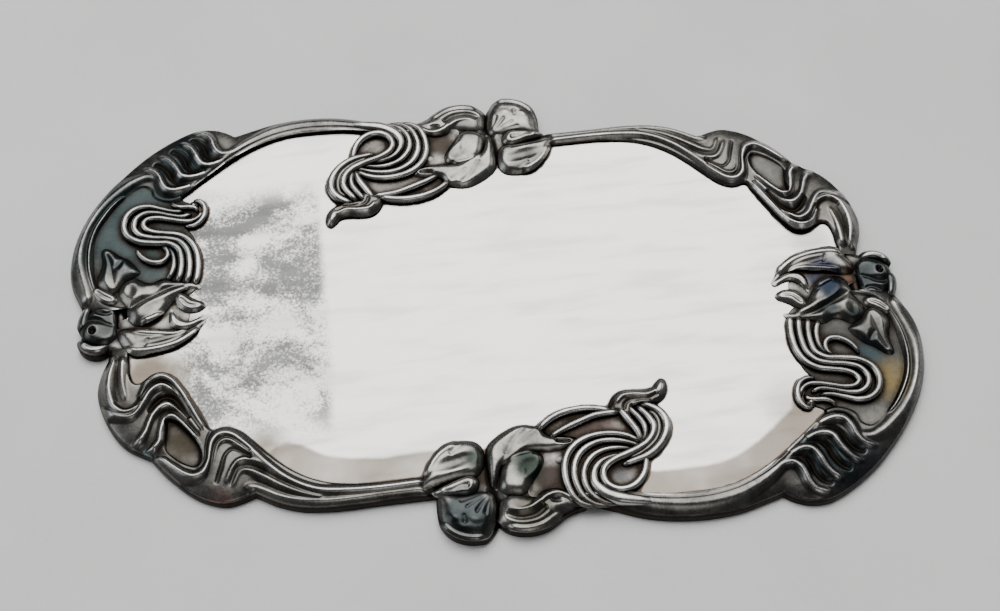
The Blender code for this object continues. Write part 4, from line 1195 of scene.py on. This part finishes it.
def chased_silver(name):
    """Polished on its crests, aged on its flats, dark with tarnish in its hollows; painted shade
    on its outer wall, painted glints, a painted teal reflection.
    """
    polish, wear, light, shade = FINISHES[name]
    n = Nodes(name)
    ragged = n.maths("ADD", n.maths("MULTIPLY", n.noise(RAGGED_GRAIN, 4.0, 0.6), RAGGED),
                     -RAGGED / 2)
    depth = n.maths("ADD", n.attribute("cavity"), ragged)
    # tarnish in the hollows; on the outer wall the same darkening is painted shade
    dark = n.step(depth, *TARNISH_AND_SHADE_DEPTH)
    patches = n.step(n.noise(WORN_PATCHES, 3.0, 0.6), 0.34, 0.66, wear * 0.45, wear)
    worn = n.maths("MULTIPLY", n.step(depth, *WORN_DEPTH, 1.0, 0.0), patches)
    haze = n.step(n.noise(HAZE_PATCHES, 4.0, 0.6, 0.6), 0.38, 0.66)
    aged = n.mix(haze, light, shade)
    wander = n.maths("MULTIPLY", n.noise(TINT_WANDER, 3.0), 0.5)
    for centre, inner, outer, colour, share, dulled in TINTS:
        here = n.spot(centre, inner, outer, wander)
        aged = n.mix(n.maths("MULTIPLY", here, share), aged, colour)
        if dulled:
            worn = n.maths("MULTIPLY", worn, n.step(here, 0.0, 1.0, 1.0, 1.0 - dulled))
    # painted reflection: slopes that face the back of the tray take a teal tint in patches, as if
    # they reflected the room
    behind = n.step(n.axis(n.normal(), 1), 0.15, 0.75)
    teal_reflection = n.maths("MULTIPLY", behind, n.step(n.noise(REFLECTION_PATCHES, 3.0), 0.35, 0.65, 0.3, 0.75))
    aged = n.mix(teal_reflection, aged, REFLECTED_TEAL)
    metal = n.mix(worn, aged, SILVER)
    n.link(n.mix(dark, metal, TARNISH_AND_SHADE), n.shader.inputs["Base Color"])
    n.shader.inputs["Metallic"].default_value = 1.0
    fine = n.step(n.noise(POLISH_GRAIN, 5.0, 0.65), 0.35, 0.75, polish, polish + 0.10)
    flat = n.maths("MULTIPLY", n.maths("SUBTRACT", 1.0, worn), 0.06)
    rough = n.maths("ADD", n.maths("ADD", fine, flat), n.maths("MULTIPLY", dark, 0.16))
    n.link(rough, n.shader.inputs["Roughness"])
    n.bump(n.noise(DENTS, 3.0, 0.5), 0.10, 0.0004)
    return n.material


FIELD_LIGHT = (0.70, 0.69, 0.665)
FIELD_SHADE = (0.55, 0.545, 0.52)
STAIN = (0.13, 0.133, 0.133)
SEAM_DIRT = (0.045, 0.034, 0.026)
TAN = (0.122, 0.098, 0.072)

# Where each tone fades in or out, in metres along X and Y.
MOTTLE_LEFT = (-0.116, -0.104)
MOTTLE_RIGHT = (-0.056, -0.052)
MOTTLE_FRONT = (-0.050, -0.030)
MOTTLE_BACK = (0.048, 0.062)
TAN_BACK = (-0.046, -0.036)
TAN_WIDTH = (9.4, 11.2)      # millimetres from the border
SEAM_DEPTH = (0.42, 0.80)    # millimetres under the surroundings
FIELD_POLISH = (0.26, 0.34)  # roughness of the sheet and of its streaks
# Sizes of the patterns in the field, in blobs to a metre; bars and streaks also have a turn
# in degrees, and how many times finer they are across it.
SEAM_GRAIN = 500.0
CLOUDS = 34.0
SPECKS = 1100.0
BARS = (20.0, (24.0, 3.0))
STREAKS = (26.0, (-18.0, 6.0))
TAN_PATCHES = 30.0
DRAWN_GRAIN = (1500.0, (8.0, 0.25))

# Smudges on the field: (centre in metres, inner and outer radius, share).
SMUDGES = [
    ((-0.121, -0.018, 0.004), 0.008, 0.020, 0.95),
    ((-0.082, -0.046, 0.004), 0.002, 0.012, 0.85),
    ((-0.110, -0.014, 0.004), 0.002, 0.010, 0.50),
    ((0.096, -0.052, 0.004), 0.003, 0.016, 0.45),
    ((-0.116, 0.022, 0.004), 0.003, 0.012, 0.55),
    ((0.118, 0.012, 0.004), 0.003, 0.012, 0.40),
]


def satin_field(name):
    """The field: a satin sheet with faint drawn streaks, and grey mottling on its left."""
    n = Nodes(name)
    x = n.axis(n.position, 0)
    y = n.axis(n.position, 1)
    seam = n.step(n.maths("ADD", n.attribute("cavity"),
                          n.maths("MULTIPLY", n.noise(SEAM_GRAIN, 4.0, 0.65), 0.25)), *SEAM_DEPTH)
    cloud = n.noise(CLOUDS, 5.0, 0.62, 1.2)
    grain = n.noise(SPECKS, 2.0, 0.7)
    edge = n.maths("ADD", x, n.maths("MULTIPLY", cloud, 0.008))
    left = n.maths("MULTIPLY", n.step(x, *MOTTLE_LEFT),
                   n.step(edge, *MOTTLE_RIGHT, 1.0, 0.0))
    band = n.maths("MULTIPLY", left, n.maths("MULTIPLY", n.step(y, *MOTTLE_FRONT),
                                             n.step(y, *MOTTLE_BACK, 1.0, 0.0)))
    bars = n.noise(BARS[0], 4.0, 0.6, 0.5, stretch=BARS[1])
    drift = n.maths("ADD", n.maths("MULTIPLY", cloud, 0.55), n.maths("MULTIPLY", bars, 0.45))
    blotch = n.step(n.maths("ADD", drift, n.maths("MULTIPLY", grain, 0.36)), 0.60, 0.76)
    stain = n.maths("MULTIPLY", n.maths("ADD", n.maths("MULTIPLY", blotch, 0.80), 0.14), band)
    streak = n.step(n.noise(STREAKS[0], 3.0, 0.5, 0.3, stretch=STREAKS[1]), 0.40, 0.75)
    # the tan band along the front edge of the field
    inland = n.maths("ADD", n.attribute("shore"), n.maths("MULTIPLY", cloud, 2.0))
    tan = n.maths("MULTIPLY", n.maths("MULTIPLY", n.step(inland, *TAN_WIDTH, 0.85, 0.0),
                                      n.step(y, *TAN_BACK, 1.0, 0.0)),
                  n.step(n.noise(TAN_PATCHES, 3.0), 0.25, 0.6, 0.7, 1.0))
    metal = n.mix(n.maths("MULTIPLY", streak, 0.35), FIELD_LIGHT, FIELD_SHADE)
    metal = n.mix(stain, metal, STAIN)
    wander = n.maths("MULTIPLY", cloud, 0.7)
    for centre, inner, outer, share in SMUDGES:
        here = n.maths("MULTIPLY", n.spot(centre, inner, outer, wander), share)
        metal = n.mix(here, metal, TAN)
    metal = n.mix(tan, metal, TAN)
    colour = n.mix(seam, metal, SEAM_DIRT)
    n.link(colour, n.shader.inputs["Base Color"])
    n.shader.inputs["Metallic"].default_value = 1.0
    rough = n.maths("ADD", n.step(streak, 0.0, 1.0, *FIELD_POLISH),
                    n.maths("MULTIPLY", stain, 0.12))
    n.link(rough, n.shader.inputs["Roughness"])
    n.bump(n.noise(DRAWN_GRAIN[0], 2.0, 0.6, stretch=DRAWN_GRAIN[1]), 0.05, 0.0002)
    return n.material


FLOOR_TONES = ((0.60, 0.60, 0.60), (0.66, 0.66, 0.66))


def floor_material():
    """A plain pale matt floor."""
    n = Nodes("floor_pale")
    tone = n.step(n.noise(9.0, 4.0), 0.3, 0.7)
    n.link(n.mix(tone, *FLOOR_TONES), n.shader.inputs["Base Color"])
    n.shader.inputs["Roughness"].default_value = 0.6
    n.bump(n.noise(260.0, 6.0, 0.7), 0.25, 0.001)
    return n.material


# ---------------------------------------------------------------- pieces

SHARP_ANGLE = 58.0       # degrees between two faces, above which their edge stays sharp


def piece(name, body, layers, material, slot):
    """A mesh from a body in millimetres, standing for the CAD node of the same place."""
    verts, faces = body
    mesh = bpy.data.meshes.new(name)
    mesh.from_pydata((verts * MM).tolist(), [], faces)
    mesh.materials.append(material)
    mesh.polygons.foreach_set("use_smooth", [True] * len(mesh.polygons))
    mesh.set_sharp_from_angle(angle=math.radians(SHARP_ANGLE))
    for key, values in layers.items():
        layer = mesh.attributes.new(key, "FLOAT", "POINT")
        layer.data.foreach_set("value", values.astype(np.float32))
    mesh.validate()
    obj = bpy.data.objects.new(name, mesh)
    bpy.context.scene.collection.objects.link(obj)
    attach(obj, "root")
    return obj


SHORE_END = -54.0        # the front border's seam counts as shore as far back as this
SHORE_STEP = 2.0


def shore(points):
    """How far each point of the field is from the front border, in millimetres."""
    seams = [smooth(CORNER_SEAM, SHORE_STEP), smooth(RAIL_SEAM, SHORE_STEP)]
    front = [line[line[:, 1] < SHORE_END] for seam in seams for line in (seam, turned(seam))]
    return np.minimum.reduce([nearest(points, line)[0] for line in front if len(line) > 1])


def build_tray():
    """Every piece of the tray, each in place of its CAD node."""
    relief = chased_silver("silver_border")
    petals = chased_silver("silver_flower")
    stems = chased_silver("silver_tendril")
    satin = satin_field("silver_field")
    dies = [
        (border_shell(CORNER_EDGE, CORNER_SEAM, CORNER_FEATURES),
         ("corner_front_left", "corner_back_right"),
         ("border_front_left", "border_back_right"), relief, "border"),
        (border_shell(RAIL_EDGE, RAIL_SEAM, RAIL_FEATURES),
         ("rail_front_right", "rail_back_left"),
         ("border_front_right", "border_back_left"), relief, "border"),
        (end_flower(), ("iris_right", "iris_left"),
         ("flower_right", "flower_left"), petals, "flowers"),
        (side_flower(), ("iris_front", "iris_back"),
         ("flower_front", "flower_back"), petals, "flowers"),
        (loop_tendril(), ("loop_front", "loop_back"),
         ("tendril_front", "tendril_back"), stems, "tendrils"),
        (whiplash(), ("whiplash_right", "whiplash_left"),
         ("tendril_right", "tendril_left"), stems, "tendrils"),
    ]
    made = [(field_plate(), "field", "tray_plate", satin, "field")]
    for body, names, nodes, material, slot in dies:
        made.append((body, names[0], nodes[0], material, slot))
        made.append((half_turned(body), names[1], nodes[1], material, slot))
    grid = relief_map([row[0] for row in made])
    wide, narrow = blurred(grid, WIDE_BLUR), blurred(grid, NARROW_BLUR)
    for body, name, node, material, slot in made:
        blur = narrow if slot == "field" else wide
        layers = {"cavity": sampled(blur, body[0]) - body[0][:, 2]}
        if slot == "field":
            layers["shore"] = shore(body[0][:, :2])
        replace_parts(piece(name, body, layers, material, slot), node)


# ---------------------------------------------------------------- stage

CAMERA_PLACE = (-0.033348, -0.263462, 0.462715)
CAMERA_TURN = (29.9277, -0.3848, -7.2215)      # degrees about X, Y, Z
CAMERA_LENS = 54.0       # millimetres, on a sensor of this width
CAMERA_SENSOR = 36.0
CAMERA_NEAR = 0.01       # metres


def make_camera():
    """The camera, in front of the tray and above it, a little to the left."""
    camera = bpy.data.cameras.new("camera")
    camera.lens = CAMERA_LENS
    camera.sensor_width = CAMERA_SENSOR
    camera.clip_start = CAMERA_NEAR
    obj = bpy.data.objects.new("camera", camera)
    obj.location = CAMERA_PLACE
    obj.rotation_euler = [math.radians(a) for a in CAMERA_TURN]
    bpy.context.scene.collection.objects.link(obj)
    bpy.context.scene.camera = obj


# The soft light of the room: (direction, inner and outer angle in degrees, colour, strength).
ROOM_LIGHTS = [
    ((0.03, 0.275, 0.463), 15.0, 31.0, (1.0, 0.99, 0.97), 3.7),
    ((-0.80, 0.10, 0.60), 6.0, 22.0, (0.90, 0.96, 1.0), 1.6),
    ((0.75, 0.40, 0.50), 4.0, 16.0, (1.0, 0.97, 0.92), 1.2),
    ((0.05, -0.66, 0.75), 4.0, 17.0, (1.0, 0.98, 0.94), 1.1),
]
ROOM_DIM = (0.105, 0.108, 0.112)
HORIZON_GLOW = (0.36, 0.37, 0.38)
GLOW_HEIGHT = (0.02, 0.24)   # the glow fades out between these heights of a unit direction

FLOOR_HALF = 3.0
FLOOR_GAP = 0.0001           # metres between the floor and the tray's foot
SOFT_BOX_PLACE = (-0.25, 0.45, 1.1)
SOFT_BOX_SIZE = 1.2
SOFT_BOX_POWER = 13.0


def make_world():
    """A dim room with broad soft windows of light, and a pale band at the horizon."""
    world = bpy.data.worlds.new("studio")
    world.use_nodes = True
    tree = world.node_tree
    background = tree.nodes["Background"]
    direction = tree.nodes.new("ShaderNodeTexCoord").outputs["Generated"]
    split = tree.nodes.new("ShaderNodeSeparateXYZ")
    tree.links.new(direction, split.inputs[0])
    glow = tree.nodes.new("ShaderNodeMapRange")
    glow.interpolation_type = "SMOOTHSTEP"
    for key, value in (("From Min", GLOW_HEIGHT[0]), ("From Max", GLOW_HEIGHT[1]),
                       ("To Min", 1.0), ("To Max", 0.0)):
        glow.inputs[key].default_value = value
    tree.links.new(split.outputs[2], glow.inputs["Value"])
    mix = tree.nodes.new("ShaderNodeMix")
    mix.data_type = "RGBA"
    mix.inputs[6].default_value = (*ROOM_DIM, 1.0)
    mix.inputs[7].default_value = (*HORIZON_GLOW, 1.0)
    tree.links.new(glow.outputs["Result"], mix.inputs[0])
    total = mix.outputs[2]
    for aim, inner, outer, colour, strength in ROOM_LIGHTS:
        dot = tree.nodes.new("ShaderNodeVectorMath")
        dot.operation = "DOT_PRODUCT"
        tree.links.new(direction, dot.inputs[0])
        dot.inputs[1].default_value = Vector(aim).normalized()
        lobe = tree.nodes.new("ShaderNodeMapRange")
        lobe.interpolation_type = "SMOOTHSTEP"
        tree.links.new(dot.outputs["Value"], lobe.inputs["Value"])
        for key, value in (("From Min", math.cos(math.radians(outer))),
                           ("From Max", math.cos(math.radians(inner))),
                           ("To Max", strength)):
            lobe.inputs[key].default_value = value
        add = tree.nodes.new("ShaderNodeVectorMath")
        add.operation = "MULTIPLY_ADD"
        add.inputs[1].default_value = colour
        tree.links.new(lobe.outputs["Result"], add.inputs[0])
        tree.links.new(total, add.inputs[2])
        total = add.outputs["Vector"]
    tree.links.new(total, background.inputs["Color"])
    bpy.context.scene.world = world


def make_stage():
    """The floor, the room's light and one soft box, which the metal doesn't reflect."""
    mesh = bpy.data.meshes.new("floor")
    sheet = bmesh.new()
    bmesh.ops.create_grid(sheet, x_segments=1, y_segments=1, size=FLOOR_HALF)
    sheet.to_mesh(mesh)
    sheet.free()
    mesh.materials.append(floor_material())
    floor = bpy.data.objects.new("floor", mesh)
    floor.location.z = FOOT * MM - FLOOR_GAP
    bpy.context.scene.collection.objects.link(floor)
    make_world()
    lamp = bpy.data.lights.new("soft_box", "AREA")
    lamp.size = SOFT_BOX_SIZE
    lamp.energy = SOFT_BOX_POWER
    soft_box = bpy.data.objects.new("soft_box", lamp)
    soft_box.location = SOFT_BOX_PLACE
    soft_box.rotation_euler = Vector(soft_box.location).to_track_quat("Z", "Y").to_euler()
    soft_box.visible_glossy = False
    bpy.context.scene.collection.objects.link(soft_box)


build_tray()
make_camera()
make_stage()
